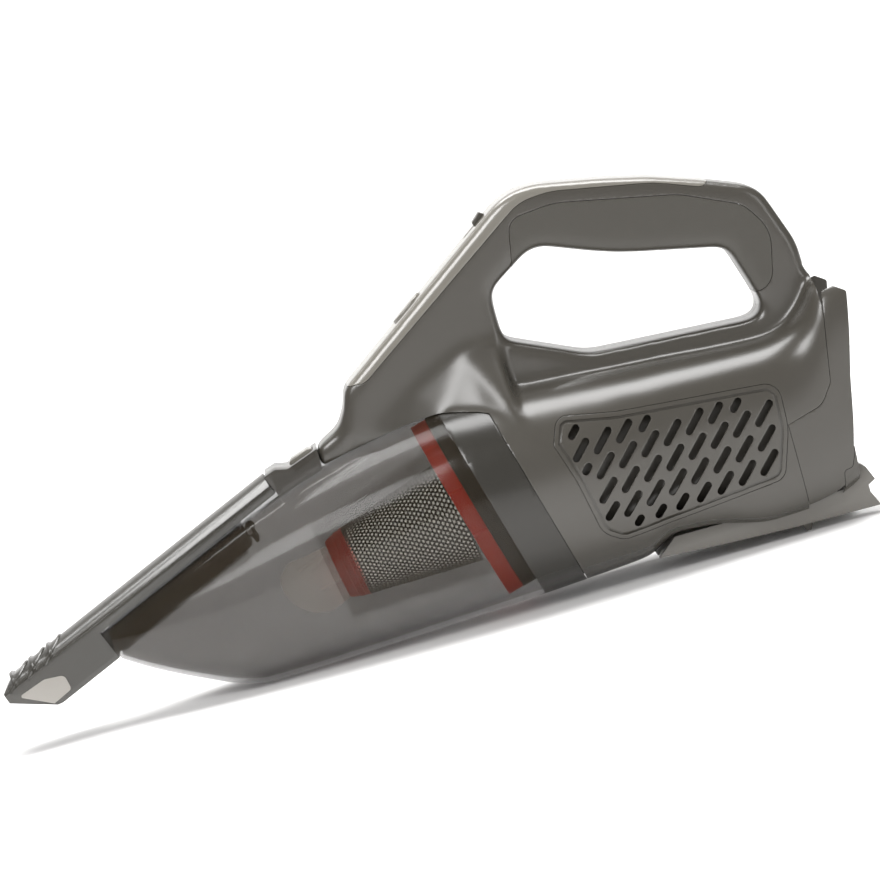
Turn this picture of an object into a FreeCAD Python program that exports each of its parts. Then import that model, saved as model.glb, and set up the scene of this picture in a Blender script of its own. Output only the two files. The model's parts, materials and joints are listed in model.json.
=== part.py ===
import FreeCAD, Part
import math
import os

import Sketcher

# Cordless handheld vacuum: smoke dust bowl with a slide-out crevice nozzle,
# clamshell motor housing with a loop handle, and a rail for a slide-on battery.
#
# Frame: millimetres, +X to the rear (the nozzle points to -X), +Z up, -Y is the
# left side.  The vacuum rests on its belly and on the battery catch, and the
# origin is the centre of its footprint.

V = FreeCAD.Vector

# Driving sizes.  Lengths in millimetres, angles in degrees.
SIZES = {
    # Joint between the bowl and the motor housing, and the motor axis through its centre.
    "joint_x": 54.0, "joint_z": 54.5, "motor_tilt": 14.75, "joint_gap": 0.4,
    # Shells.
    "body_half": 52.0, "wall": 2.4, "handle_half": 18.0, "handle_fillet": 8.0,
    "handle_wall": 4.5, "split_gap": 0.05, "fit_gap": 0.3,
    "trim_depth": 3.4, "grip_depth": 2.2,
    # Crevice nozzle: frame origin on the bowl's nose line.
    "nose_x": -130.0, "nose_z": 65.0, "nozzle_tilt": 22.5,
    "nozzle_half": 15.5, "nozzle_top": 10.3, "nozzle_edge": 4.8, "nozzle_wall": 1.8,
    "tube_step": 2.0, "tube_low": -13.0, "tube_high": -1.6,
    "bar_end": 66.0, "tube_end": 41.5, "head_end": -44.0, "slide_gap": 0.3,
    "sleeve_wall": 1.6, "flap_pin_radius": 1.2, "flap_barrel_radius": 2.4, "flap_drop": 5.4,
    # Filter carrier: ring pair that spans the bowl, raised above the motor axis.
    "ring_rise": 10.0, "ring_gap": 1.6, "collar_front": -37.0, "collar_rear": -29.2,
    "seal_rear": -20.5,
    "cone_tilt": 9.5, "shroud_length": 70.0, "shroud_rear_radius": 36.0,
    "shroud_front_radius": 25.5, "shroud_wall": 1.6,
    "mesh_length": 57.0, "mesh_rear_radius": 27.0, "mesh_front_radius": 18.0,
    "mesh_wall": 0.8, "cap_length": 10.0,
    "pleat_length": 46.0, "pleat_gap": 1.2, "pleat_fold": 5.0,
    # Motor and fan, along the motor axis from the joint plane.
    "spigot_gap": 4.6, "spigot_length": 14.0, "bulkhead_bore": 20.0,
    "fan_front": 12.0, "fan_width": 13.0, "fan_gap": 3.2,
    "scroll_front": 7.0, "scroll_rear": 29.0, "scroll_radius": 38.0, "scroll_wall": 1.8,
    "motor_front": 33.5, "motor_rear": 78.0, "motor_radius": 19.0,
    "shaft_radius": 1.6, "bearing_radius": 5.0, "core_radius": 9.0, "core_gap": 1.5,
    # Control panel.
    "slider_at": 106.0, "slider_length": 8.0, "slider_half": 4.6, "slider_rise": 3.2,
    "slider_travel": 8.0, "stem_half": 1.8,
    "led_at": 86.7, "led_radius": 1.8,
    "button_at": 50.2, "button_length": 19.0, "button_half": 6.5, "button_rise": 1.6,
    "button_depth": 6.0,
    "latch_x": 10.0, "latch_z": 139.0, "latch_pin_radius": 1.5, "pin_fit": 0.05,
    # Battery rail.
    "rail_half": 30.0, "rail_channel_half": 22.0, "rail_roof": 12.6, "rail_groove": 3.0,
    "catch_half": 3.0, "wing_gap": 4.0, "wing_thickness": 5.5,
    # Screws.  The heads sit below the surface of the handle and of the belly.
    "handle_screw_depth": 5.5, "belly_screw_depth": 22.0,
    "screw_radius": 1.5, "screw_head_radius": 2.9, "screw_head_height": 2.2, "boss_radius": 4.2,
}

doc = FreeCAD.newDocument("handheld_vacuum")
sheet = doc.addObject("Spreadsheet::Sheet", "Sizes")
for row, (name, value) in enumerate(SIZES.items(), start=1):
    sheet.set("A%d" % row, name)
    sheet.set("B%d" % row, str(value))
    sheet.setAlias("B%d" % row, name)
doc.recompute()

NODES = {}


class Size:
    """A number that remembers the sheet expression it comes from."""

    def __init__(self, value, text):
        self.value = value
        self.text = text

    def join(self, other, sign, value, swap=False):
        first, second = self.text, size(other).text
        if swap:
            first, second = second, first
        return Size(value, "(%s %s %s)" % (first, sign, second))

    def __add__(self, other):
        return self.join(other, "+", self.value + size(other).value)

    def __radd__(self, other):
        return self.join(other, "+", self.value + size(other).value, swap=True)

    def __sub__(self, other):
        return self.join(other, "-", self.value - size(other).value)

    def __rsub__(self, other):
        return self.join(other, "-", size(other).value - self.value, swap=True)

    def __mul__(self, other):
        return self.join(other, "*", self.value * size(other).value)

    def __rmul__(self, other):
        return self.join(other, "*", self.value * size(other).value, swap=True)

    def __truediv__(self, other):
        return self.join(other, "/", self.value / size(other).value)

    def __neg__(self):
        return Size(-self.value, "(0 - %s)" % self.text)


def size(item):
    """A Size for a sheet name, a plain number or a Size."""
    if isinstance(item, Size):
        return item
    if isinstance(item, str):
        return Size(float(sheet.get(item)), "Sizes.%s" % item)
    return Size(float(item), "%r" % float(item))


def smaller(first, second):
    """The smaller of two sizes."""
    first, second = size(first), size(second)
    return Size(min(first.value, second.value), "min(%s; %s)" % (first.text, second.text))


def mm(name):
    """The plain number behind a name in the sheet."""
    return float(sheet.get(name))


def tilted(x, z, degrees, y=0.0):
    """A frame at (x, y, z) whose X axis rises to the rear by an angle."""
    return FreeCAD.Placement(V(x, y, z), FreeCAD.Rotation(V(0, 1, 0), -degrees))


# Sizes that follow from others: the filter's ring and the housing's spigot fit inside
# the bowl both ways (tilted, they reach lower than level ones would), the nozzle's tube
# is stepped in from its head, the fan turns in its scroll, and the paper filter fits
# inside the screen.
BOWL_HALF_HEIGHT = 53.5
TILT_LOSS = 1.5
BORE_RADIUS = smaller("body_half", BOWL_HALF_HEIGHT - TILT_LOSS) - size("wall")
RING_RADIUS = BORE_RADIUS - size("ring_gap")
SPIGOT_RADIUS = BORE_RADIUS - size("spigot_gap")
TUBE_HALF = size("nozzle_half") - size("tube_step")
FAN_RADIUS = size("scroll_radius") - size("scroll_wall") - size("fan_gap")
PLEAT_OUTER = size("mesh_front_radius") - size("mesh_wall") - size("pleat_gap")
PLEAT_INNER = PLEAT_OUTER - size("pleat_fold")
CATCH_SPREAD = size("rail_channel_half")

ROW = FreeCAD.Placement()
MOTOR = tilted(mm("joint_x"), mm("joint_z"), mm("motor_tilt"))
NOZZLE = tilted(mm("nose_x"), mm("nose_z"), mm("nozzle_tilt"))
RING = MOTOR.multiply(FreeCAD.Placement(V(0, 0, mm("ring_rise")), FreeCAD.Rotation()))
CONE_BASE = RING.multVec(V(mm("collar_front"), 0, 0))
CONE = tilted(CONE_BASE.x, CONE_BASE.z, mm("cone_tilt"))


# ---------------------------------------------------------------- PartDesign helpers

def new_body(name, frame):
    body = doc.addObject("PartDesign::Body", name)
    body.Label = name
    body.Placement = frame
    NODES[name] = body
    return body


def plane_of(body, role):
    return [item for item in body.Origin.OriginFeatures if item.Role == role][0]


def outline_sketch(body, name, points, role="XZ_Plane"):
    """A closed outline whose corners are held by the sheet."""
    sketch = body.newObject("Sketcher::SketchObject", name)
    sketch.AttachmentSupport = (plane_of(body, role), "")
    sketch.MapMode = "FlatFace"
    corners = [(size(u), size(v)) for u, v in points]
    count = len(corners)
    for index, (u, v) in enumerate(corners):
        next_u, next_v = corners[(index + 1) % count]
        start = V(u.value, v.value, 0)
        sketch.addGeometry(Part.LineSegment(start, V(next_u.value, next_v.value, 0)))
    for index in range(count):
        follower = (index + 1) % count
        sketch.addConstraint(Sketcher.Constraint("Coincident", index, 2, follower, 1))
    for index, (u, v) in enumerate(corners):
        for kind, length in (("DistanceX", u), ("DistanceY", v)):
            number = sketch.addConstraint(
                Sketcher.Constraint(kind, -1, 1, index, 1, length.value))
            sketch.setExpression("Constraints[%d]" % number, length.text)
    return sketch


def revolved(name, frame, points):
    """A turned piece: (along the axis, radius) outline spun round the frame's X axis."""
    body = new_body(name, frame)
    sketch = outline_sketch(body, name + "_profile", points)
    turn = body.newObject("PartDesign::Revolution", name + "_turn")
    turn.Profile = sketch
    turn.ReferenceAxis = (sketch, ["H_Axis"])
    turn.Angle = 360
    return body


def padded(name, frame, points, width, role="XZ_Plane"):
    """A flat piece: an outline padded to both sides of the frame's middle plane."""
    body = new_body(name, frame)
    sketch = outline_sketch(body, name + "_outline", points, role)
    pad = body.newObject("PartDesign::Pad", name + "_pad")
    pad.Profile = sketch
    pad.Midplane = True
    pad.setExpression("Length", size(width).text)
    return body


def pocketed(body, name, points, width, role="XZ_Plane"):
    """A pocket through a body, the same width to both sides of its middle plane."""
    sketch = outline_sketch(body, name + "_outline", points, role)
    pocket = body.newObject("PartDesign::Pocket", name)
    pocket.Profile = sketch
    pocket.Midplane = True
    pocket.setExpression("Length", size(width).text)
    return body


def rectangle(u_low, v_low, u_high, v_high):
    return [(u_low, v_low), (u_high, v_low), (u_high, v_high), (u_low, v_high)]


# ---------------------------------------------------------------- free-form helpers

def feature(name, shape, frame=ROW):
    """A sub-part whose shape is made with Part's own functions."""
    item = doc.addObject("Part::Feature", name)
    item.Label = name
    item.Shape = shape
    item.Placement = frame
    NODES[name] = item
    return item


def rounded_wire(points):
    """A closed wire with one arc at each corner; points are (vector, radius)."""
    count = len(points)
    corners = []
    for index, (corner, radius) in enumerate(points):
        if radius <= 0:
            corners.append((corner, None, corner))
            continue
        back = (points[index - 1][0] - corner).normalize()
        ahead = (points[(index + 1) % count][0] - corner).normalize()
        half_angle = back.getAngle(ahead) / 2
        reach = radius / math.tan(half_angle)
        bisector = (back + ahead).normalize()
        middle = corner + bisector * (radius / math.sin(half_angle) - radius)
        corners.append((corner + back * reach, middle, corner + ahead * reach))
    edges = []
    for index, (start, middle, end) in enumerate(corners):
        if middle is not None:
            edges.append(Part.Arc(start, middle, end).toShape())
        following = corners[(index + 1) % count][0]
        if (following - end).Length > 1e-6:
            edges.append(Part.LineSegment(end, following).toShape())
    return Part.Wire(edges)


def side_face(points, y=0.0):
    """A face in the side view from (x, z) or (x, z, corner radius) points."""
    corners = [(V(point[0], y, point[1]), point[2] if len(point) > 2 else 0) for point in points]
    return Part.Face(rounded_wire(corners))


def side_prism(points, y_low, y_high):
    prism = side_face(points, y_low).extrude(V(0, y_high - y_low, 0))
    if prism.Volume < 0:
        prism.reverse()
    return prism


def block(x_low, y_low, z_low, x_high, y_high, z_high):
    return Part.makeBox(x_high - x_low, y_high - y_low, z_high - z_low, V(x_low, y_low, z_low))


def placed(shape, frame):
    """A copy of a shape moved from a frame's coordinates to the row's."""
    moved = shape.copy()
    moved.Placement = frame.multiply(moved.Placement)
    return moved


def section(x, z_low, z_high, half, corner):
    """A rounded section of the body across X."""
    corner = min(corner, half - 0.2, (z_high - z_low) / 2 - 0.2)
    points = [(V(x, -half, z_low), corner), (V(x, half, z_low), corner),
              (V(x, half, z_high), corner), (V(x, -half, z_high), corner)]
    return rounded_wire(points)


def nose_line(x):
    """Height of the line along the top of the bowl's nose, under the nozzle bar."""
    return mm("nose_z") + (x - mm("nose_x")) * math.tan(math.radians(mm("nozzle_tilt")))


# Sections of the belly from nose to tail.  The two at the tip, beside the nozzle, are
# wider than it by a margin: x, bottom, margin, corner radius.
TIP_SECTIONS = [(-166, 33.0, 2.0, 7.5), (-150, 22.6, 6.5, 12.0)]
# Those behind them are narrower than the body: x, bottom, narrowing, corner radius.
NOSE_SECTIONS = [(-130, 12.0, 24.0, 20.0), (-110, 3.2, 18.5, 26.0), (-97, -0.4, 15.5, 30.0),
                 (-84, -0.4, 13.0, 34.0)]
# The rest has a top of its own: x, bottom, top, narrowing, corner radius.
BELLY_SECTIONS = [(-50, 0.9, 94.5, 8.0, 40.0), (0, 2.6, 106.5, 2.6, 45.0),
                  (30, 3.8, 3.8 + 2 * BOWL_HALF_HEIGHT, 0.0, 47.0), (66, 5.4, 110.0, 0.0, 47.0),
                  (98, 8.6, 106.5, 1.6, 42.0), (114, 17.4, 104.0, 3.6, 38.0),
                  (150, 13.0, 101.5, 7.5, 32.0), (180, 12.0, 100.0, 10.5, 28.0),
                  (204, 27.4, 98.0, 12.5, 24.0)]


def belly(inset):
    """The whole lower body, drawn in by an inset (or out by a negative one)."""
    wires = []
    tip = [(x, low, mm("nozzle_half") + margin, corner) for x, low, margin, corner in TIP_SECTIONS]
    nose = [(x, low, mm("body_half") - narrowing, corner) for x, low, narrowing, corner in
            NOSE_SECTIONS]
    for x, low, half, corner in tip + nose:
        wires.append(section(x, low + inset, nose_line(x) - mm("slide_gap") - inset,
                             half - inset, corner - inset))
    for x, low, high, narrowing, corner in BELLY_SECTIONS:
        wires.append(section(x, low + inset, high - inset,
                             mm("body_half") - narrowing - inset, corner - inset))
    return Part.makeLoft(wires, True, True)


def beyond_joint(offset, ahead):
    """Everything ahead of (or behind) a plane square to the motor axis."""
    reach = 300
    if ahead:
        return placed(block(offset - 2 * reach, -reach, -reach, offset, reach, reach), MOTOR)
    return placed(block(offset, -reach, -reach, offset + 2 * reach, reach, reach), MOTOR)


# The belly has a flat under it to stand on.
OUTER_BELLY = belly(0).cut(block(-200, -100, -5, 0, 100, 0))
INNER_BELLY = belly(mm("wall"))

# ---------------------------------------------------------------- handle loop outlines

LOOP = [(-30, 104, 3), (-23, 129.3, 5), (82, 202.6, 35), (149.5, 189.1, 250),
        (198.3, 169.1, 18), (209.5, 138, 20), (211, 92, 3), (60, 88, 3)]
HAND_HOLE = [(59, 132.3, 4), (59, 156, 8), (85, 171.8, 14), (122, 157.2, 150),
             (176, 145, 7), (187.5, 107, 7), (98, 113.8, 25)]
GRIP_REGION = [(70, 152), (76, 187), (84, 190.5), (120, 185), (160, 176.5), (190, 161.5),
               (198, 148), (197, 137), (192, 118), (180, 120), (120, 148)]
TRIM_REGION = [(-40, 124), (-20, 125), (84, 190), (100, 192), (150, 182), (177, 175),
               (181, 186), (120, 210), (60, 210)]


# The control panel's frame lies on the loop's sloping front, from its foot upwards.
PANEL_TILT = math.degrees(math.atan2(LOOP[2][1] - LOOP[1][1], LOOP[2][0] - LOOP[1][0]))
PANEL = tilted(LOOP[1][0], LOOP[1][1], PANEL_TILT)


def loop_face(inset):
    face = side_face(LOOP).cut(side_face(HAND_HOLE)).Faces[0]
    return face if inset == 0 else face.makeOffset2D(-inset).Faces[0]


def loop_solid(inset, rounding):
    half = mm("handle_half") - inset
    solid = loop_face(inset).extrude(V(0, 2 * half, 0))
    solid.translate(V(0, -half, 0))
    if rounding <= 0:
        return solid
    rims = []
    for edge in solid.Edges:
        heights = [vertex.Y for vertex in edge.Vertexes]
        if all(abs(abs(y) - half) < 1e-4 for y in heights) and abs(heights[0] - heights[-1]) < 1e-4:
            rims.append(edge)
    return solid.makeFillet(rounding, rims)


LOOP_SOLID = loop_solid(0, mm("handle_fillet"))


def oval(at, length, half, low, high):
    """An oval prism standing on the panel."""
    reach = length / 2 - half
    ends = [Part.makeCylinder(half, high - low, V(at + side * reach, 0, low)) for side in (-1, 1)]
    middle = block(at - reach, -half, low, at + reach, half, high)
    return middle.fuse(ends).removeSplitter()


def panel_holes():
    """Room for the release button, the slider's stem and the lamp, with their clearance."""
    gap = mm("fit_gap")
    button = oval(mm("button_at"), mm("button_length") + 2 * gap, mm("button_half") + gap, -20, 20)
    half = mm("slider_length") / 2
    slot = block(mm("slider_at") - half - mm("slider_travel"), -mm("stem_half") - gap, -8,
                 mm("slider_at") + half, mm("stem_half") + gap, 8)
    lamp = Part.makeCylinder(mm("led_radius") + gap, 20, V(mm("led_at"), 0, -10))
    return placed(Part.makeCompound([button, slot, lamp]), PANEL)


def trim_solid():
    """The light strip over the control panel and along the top of the handle."""
    strip = LOOP_SOLID.cut(loop_solid(mm("trim_depth"), 0))
    return strip.common(side_prism(TRIM_REGION, -40, 40)).cut(panel_holes())


def grip_core(depth):
    """The handle under the overmould, rounded to keep its thickness even."""
    return loop_solid(depth, mm("handle_fillet") - depth)


def grip_solid():
    """The soft overmould round the underside of the handle."""
    skin = LOOP_SOLID.cut(grip_core(mm("grip_depth")))
    return skin.common(side_prism(GRIP_REGION, -40, 40)).cut(side_prism(TRIM_REGION, -40, 40))


# ---------------------------------------------------------------- vent covers

VENT = [(67, 79, 3), (72, 91.5, 6), (100, 86, 60), (180, 77.5, 8), (179, 55, 30),
        (171, 31.5, 7), (88, 24.6, 8), (78.5, 31, 12), (73, 60, 40)]
# Slots run up to the rear at 45 degrees in staggered rows about the middle of the panel.
SLOT_WIDTH = 3.7
SLOT_LENGTH = 14.6
SLOT_PITCH = 19.6
SLOT_SPACING = 7.0
SLOT_BORDER = 5.6
SLOT_MIDDLE = V(122, 0, 57)
VENT_PROUD = 0.8
VENT_DEPTH = 2.0


def slot_ends():
    """The end centres of each slot, shortened where it comes to the panel's border."""
    border = side_face(VENT).makeOffset2D(-SLOT_BORDER).Faces[0]
    along, across = V(1, 0, 1).normalize(), V(1, 0, -1).normalize()
    reach = (SLOT_LENGTH - SLOT_WIDTH) / 2
    ends = []
    for column in range(-12, 13):
        for row in range(-4, 5):
            centre = SLOT_MIDDLE + across * (SLOT_SPACING * column)
            centre += along * (SLOT_PITCH * (row + column % 2 / 2))
            stops = [centre + along * (reach * (step / 10 - 1)) for step in range(21)]
            stops = [stop for stop in stops if border.isInside(stop, 0.01, True)]
            if len(stops) > 3:
                ends.append((stops[0], stops[-1]))
    return ends


def slot_prism(one, two, y_low, y_high):
    along = (two - one).normalize()
    across = V(-along.z, 0, along.x) * (SLOT_WIDTH / 2)
    tip = along * (SLOT_WIDTH / 2)
    shift = V(0, y_low, 0)
    one, two = one + shift, two + shift
    edges = [Part.LineSegment(one - across, two - across).toShape(),
             Part.Arc(two - across, two + tip, two + across).toShape(),
             Part.LineSegment(two + across, one + across).toShape(),
             Part.Arc(one + across, one - tip, one - across).toShape()]
    return Part.Face(Part.Wire(edges)).extrude(V(0, y_high - y_low, 0))


def vent_cover(side):
    """A slotted panel let into one side of the housing (side -1 is left)."""
    y_low, y_high = sorted((side * 20, side * 70))
    layer = belly(-VENT_PROUD).cut(belly(VENT_DEPTH))
    panel = layer.common(side_prism(VENT, y_low, y_high))
    slots = Part.makeCompound([slot_prism(*ends, y_low, y_high) for ends in slot_ends()])
    return panel.cut(slots)


# ---------------------------------------------------------------- housing halves

# Screws through the halves: x, z, and how far the head's seat is from the middle plane.
HANDLE_SEAT = mm("handle_half") - mm("handle_screw_depth")
BELLY_SEAT = mm("body_half") - mm("belly_screw_depth")
SCREWS = [(-15, 122, HANDLE_SEAT), (42, 132, HANDLE_SEAT), (197, 140, HANDLE_SEAT),
          (170, 24, BELLY_SEAT), (84, 13.5, BELLY_SEAT)]


def screw_at(x, z, seat):
    reach = mm("screw_head_height")
    shank = Part.makeCylinder(mm("screw_radius"), seat + 9, V(x, -9, z), V(0, 1, 0))
    head = Part.makeCylinder(mm("screw_head_radius"), reach, V(x, seat, z), V(0, 1, 0))
    return shank.fuse(head)


REAR_OUTLINE = [(179.5, 10.4), (190.5, 11), (195, 12.5), (198, 16), (200, 26.5), (204.5, 27),
                (206, 30), (211, 50), (215, 70), (220, 90), (224.5, 110.5), (214, 118),
                (211.5, 105), (209, 95), (206, 80), (204, 68), (198, 60.5), (179.5, 56)]
BAY_HALF = mm("rail_half") + mm("wing_gap")
COVER_HALF = BAY_HALF + mm("wing_thickness")

# Side outline of the battery rail.
RAIL_SIDE = [(102.5, 9.0), (112.4, 17.0), (198, 16.2), (200.4, 26.2), (209, 26.2), (211.5, 24),
             (214.4, 17), (210.6, 15), (210.6, 11.5), (214, 4), (170, 5), (140, 6.5), (110, 8.5)]


def rail_room():
    """The space that the rail and what it carries take out of the housing."""
    gap = mm("fit_gap")
    half = mm("rail_half") + gap
    roof = [(RAIL_SIDE[0][0] - 2, -5), (RAIL_SIDE[0][0] - 2, RAIL_SIDE[0][1] + gap)]
    roof += [(x - gap, z + gap) for x, z in RAIL_SIDE[1:4]]
    roof += [(230, RAIL_SIDE[4][1] + gap), (230, -5)]
    return side_prism(roof, -half, half)


def rear_cover_solid():
    """The dark cover round the battery tower, with a wing at each side."""
    cover = side_prism(REAR_OUTLINE, -COVER_HALF, COVER_HALF)
    bay = block(208, -BAY_HALF, 0, 230, BAY_HALF, 130)
    inside = block(170, -BAY_HALF - 2, 14, 205.6, BAY_HALF + 2, 60)
    return cover.cut(bay).cut(inside).cut(rail_room())


def housing_solid():
    """Both halves in one piece, before the split."""
    gap = mm("fit_gap")
    loop = LOOP_SOLID.cut(belly(-mm("joint_gap")).common(beyond_joint(mm("joint_gap"), True)))
    shell = OUTER_BELLY.common(beyond_joint(0, False)).fuse(loop)
    shell = shell.cut(side_prism(REAR_OUTLINE, -70, 70).common(block(150, -70, 0, 260, 70, 200)))
    bosses = [Part.makeCylinder(mm("boss_radius"), 2 * seat, V(x, -seat, z), V(0, 1, 0))
              for x, z, seat in SCREWS]
    core = INNER_BELLY.common(beyond_joint(-1, False))
    hollow = core.fuse(loop_solid(mm("handle_wall"), 0))
    for boss in bosses:
        hollow = hollow.cut(boss)
    shell = shell.cut(hollow)
    cut_tools = [side_prism(TRIM_REGION, -40, 40).cut(loop_solid(mm("trim_depth") + gap, 0)),
                 side_prism(GRIP_REGION, -40, 40).cut(grip_core(mm("grip_depth") + gap))]
    for tool in cut_tools + [panel_holes(), rail_room()]:
        shell = shell.cut(tool)
    return shell


HOUSING = housing_solid()


def housing_half(side):
    gap = mm("split_gap") / 2
    y_low, y_high = sorted((side * gap, side * 80))
    half = HOUSING.common(block(-60, y_low, 0, 240, y_high, 220))
    y_low, y_high = sorted((side * 20, side * 70))
    opening = side_prism(VENT, y_low, y_high).makeOffsetShape(mm("fit_gap"), 0.01)
    half = half.cut(opening)
    for x, z, seat in SCREWS:
        hole = Part.makeCylinder(mm("screw_radius") + 0.1, seat + 10, V(x, -10, z), V(0, 1, 0))
        sink = Part.makeCylinder(mm("screw_head_radius") + 0.2, 40, V(x, seat, z), V(0, 1, 0))
        half = half.cut(hole).cut(sink)
    solids = sorted(half.Solids, key=lambda solid: solid.Volume)
    return solids[-1]


feature("housing_left", housing_half(-1))
feature("housing_right", housing_half(1))
feature("spine_trim", trim_solid())
feature("soft_grip", grip_solid())
feature("vent_cover_left", vent_cover(-1))
feature("vent_cover_right", vent_cover(1))
feature("rear_cover", rear_cover_solid())
feature("housing_screws", Part.makeCompound([screw_at(*screw) for screw in SCREWS]))

# ---------------------------------------------------------------- dust bowl


def nozzle_block(s_low, s_high, half, n_low, n_high):
    """A box in the nozzle's frame, moved to the row's."""
    return placed(block(s_low, -half, n_low, s_high, half, n_high), NOZZLE)


SPINE = [(55, -20), (55, -2), (66.6, -2), (66.6, 9.8), (73, 9.4), (78, 5.8), (105.5, 4.0),
         (105.5, -20)]
FLAP_PIN = (mm("tube_end") + 2.9, mm("tube_high") - mm("flap_drop"))
LATCH_FROM = 80.0
LATCH_TO = 93.0
LATCH_HALF = 6.0
LATCH_FLOOR = 1.0


def dust_bowl():
    """The smoke bowl: a shell open to the rear, with the nozzle's sleeve in its nose."""
    gap = mm("slide_gap")
    ahead = beyond_joint(-mm("joint_gap"), True)
    outer = OUTER_BELLY.common(ahead)
    spine = placed(side_prism(SPINE, -mm("nozzle_half"), mm("nozzle_half")), NOZZLE)
    inner = INNER_BELLY.common(beyond_joint(1, True))
    front = mm("head_end") + 0.5
    tube = TUBE_HALF.value
    sleeve = nozzle_block(front, mm("tube_end") - 4, tube + gap + mm("sleeve_wall"),
                          mm("tube_low") - gap - mm("sleeve_wall"), -gap).common(outer)
    bore = nozzle_block(front - 20, mm("tube_end") + 0.5, tube + gap,
                        mm("tube_low") - gap, mm("tube_high") + gap)
    shell = outer.fuse(spine).cut(inner).fuse(sleeve).cut(bore)
    shell = shell.cut(nozzle_block(front - 60, front, 40, -60, 40))
    for side in (-1, 1):
        y_low, y_high = sorted((side * (tube + gap), side * (tube + 2)))
        ear = block(mm("tube_end") - 6, y_low, FLAP_PIN[1] - 3, mm("tube_end") + 6, y_high, -1)
        shell = shell.fuse(placed(ear, NOZZLE))
    pin_hole = Part.makeCylinder(mm("flap_pin_radius") + mm("pin_fit"), 60,
                                 V(FLAP_PIN[0], -30, FLAP_PIN[1]), V(0, 1, 0))
    shell = shell.cut(placed(pin_hole, NOZZLE))
    shell = shell.cut(nozzle_block(LATCH_FROM - 0.4, LATCH_TO + 0.4, LATCH_HALF + 0.4,
                                   LATCH_FLOOR, 30))
    return sorted(shell.Solids, key=lambda solid: solid.Volume)[-1]


feature("dust_bowl", dust_bowl())

# Rubber ring between the bowl's rim and the housing's spigot.
revolved("bowl_seal", MOTOR, rectangle(-7.0, SPIGOT_RADIUS + 0.1, -3.0, SPIGOT_RADIUS + 1.6))

# ---------------------------------------------------------------- crevice nozzle

NOZZLE_HEAD = [(-100.2, 0.7), (-99.9, 5.9), (-92, 9.6), (-80, 10.3), (-44, 10.3), (-44, -15.3),
               (-79.5, -15.3), (-82.2, -14.6)]
NOZZLE_DUCT = [(-110, 3.0), (-96, 3.4), (-40, 3.0), (-40, -13.3), (-79, -13.3), (-90, -20)]
NOZZLE_RIBS = (-93.0, -81.0, -70.0)


def crevice_nozzle():
    """A flat duct with a slanted mouth, a cover bar over the bowl and a tube inside it."""
    half, top, edge = mm("nozzle_half"), mm("nozzle_top"), mm("nozzle_edge")
    wall, tube = mm("nozzle_wall"), TUBE_HALF.value
    head_end, bar_end, tube_end = mm("head_end"), mm("bar_end"), mm("tube_end")
    low, high, gap = mm("tube_low"), mm("tube_high"), mm("slide_gap")
    solid = side_prism(NOZZLE_HEAD, -half, half)
    solid = solid.fuse(block(head_end - 1, -half, gap / 2, bar_end, half, top))
    solid = solid.fuse(block(head_end - 1, -tube, low, tube_end, tube, high))
    rise = top - edge
    crown = (half * half + rise * rise) / (2 * rise)
    dome = Part.makeCylinder(crown, 300, V(-150, 0, top - crown), V(1, 0, 0))
    solid = solid.common(dome.fuse(block(-150, -half - 1, -40, 150, half + 1, edge)))
    duct = side_prism(NOZZLE_DUCT, -half + wall, half - wall)
    throat = block(head_end - 1 - wall, -tube + wall, low + wall, tube_end + 1, tube - wall,
                   high - wall)
    back_wall = block(head_end - wall, -half, -20, 0, half, 20)
    solid = solid.cut(duct.cut(back_wall)).cut(throat)
    solid = solid.cut(block(head_end + 2, -half + wall, wall + 1.4, bar_end - wall, half - wall,
                            edge - 0.6))
    for at in NOZZLE_RIBS:
        arc = Part.makeCylinder(crown + 1.0, 1.6, V(at, 0, top - crown), V(1, 0, 0))
        solid = solid.fuse(arc.common(block(at - 1, -half + 0.8, edge - 1, at + 3, half - 0.8,
                                            top + 3)))
    return solid


feature("crevice_nozzle", crevice_nozzle(), NOZZLE)

latch_top = size(6.6)
padded("nozzle_latch_button", NOZZLE,
       [(LATCH_FROM, 2.8), (LATCH_TO, 2.8), (LATCH_TO, latch_top - 1), (LATCH_TO - 2, latch_top),
        (LATCH_FROM + 2, latch_top + 0.9), (LATCH_FROM, latch_top)], 2 * LATCH_HALF)


def inlet_flap():
    """A rubber flap hanging on its pin inside the bowl, behind the sleeve's end."""
    half = TUBE_HALF.value - 1
    at, high = FLAP_PIN
    barrel = Part.makeCylinder(mm("flap_barrel_radius"), 2 * half, V(at, -half, high), V(0, 1, 0))
    leaf = block(at - 0.8, -half, mm("tube_low") - 0.5, at + 0.8, half, high)
    hole = Part.makeCylinder(mm("flap_pin_radius") + mm("pin_fit"), 60, V(at, -30, high), V(0, 1, 0))
    return barrel.fuse(leaf).cut(hole)


feature("inlet_flap", inlet_flap(), NOZZLE)


def cross_pin(name, frame, centre, radius, length):
    """A pin across the vacuum, centred on its middle plane."""
    cross = doc.addObject("Part::Cylinder", name)
    cross.Label = name
    cross.setExpression("Radius", size(radius).text)
    cross.setExpression("Height", size(length).text)
    cross.Placement = frame.multiply(FreeCAD.Placement(
        V(centre[0], size(length).value / 2, centre[1]), FreeCAD.Rotation(V(1, 0, 0), 90)))
    NODES[name] = cross


cross_pin("flap_pin", NOZZLE, FLAP_PIN, "flap_pin_radius", 2 * TUBE_HALF + 3.6)

# ---------------------------------------------------------------- filter carrier

ring = RING_RADIUS
collar_front, collar_rear = size("collar_front"), size("collar_rear")
seal_rear = size("seal_rear")
bore = PLEAT_OUTER - 2

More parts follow.
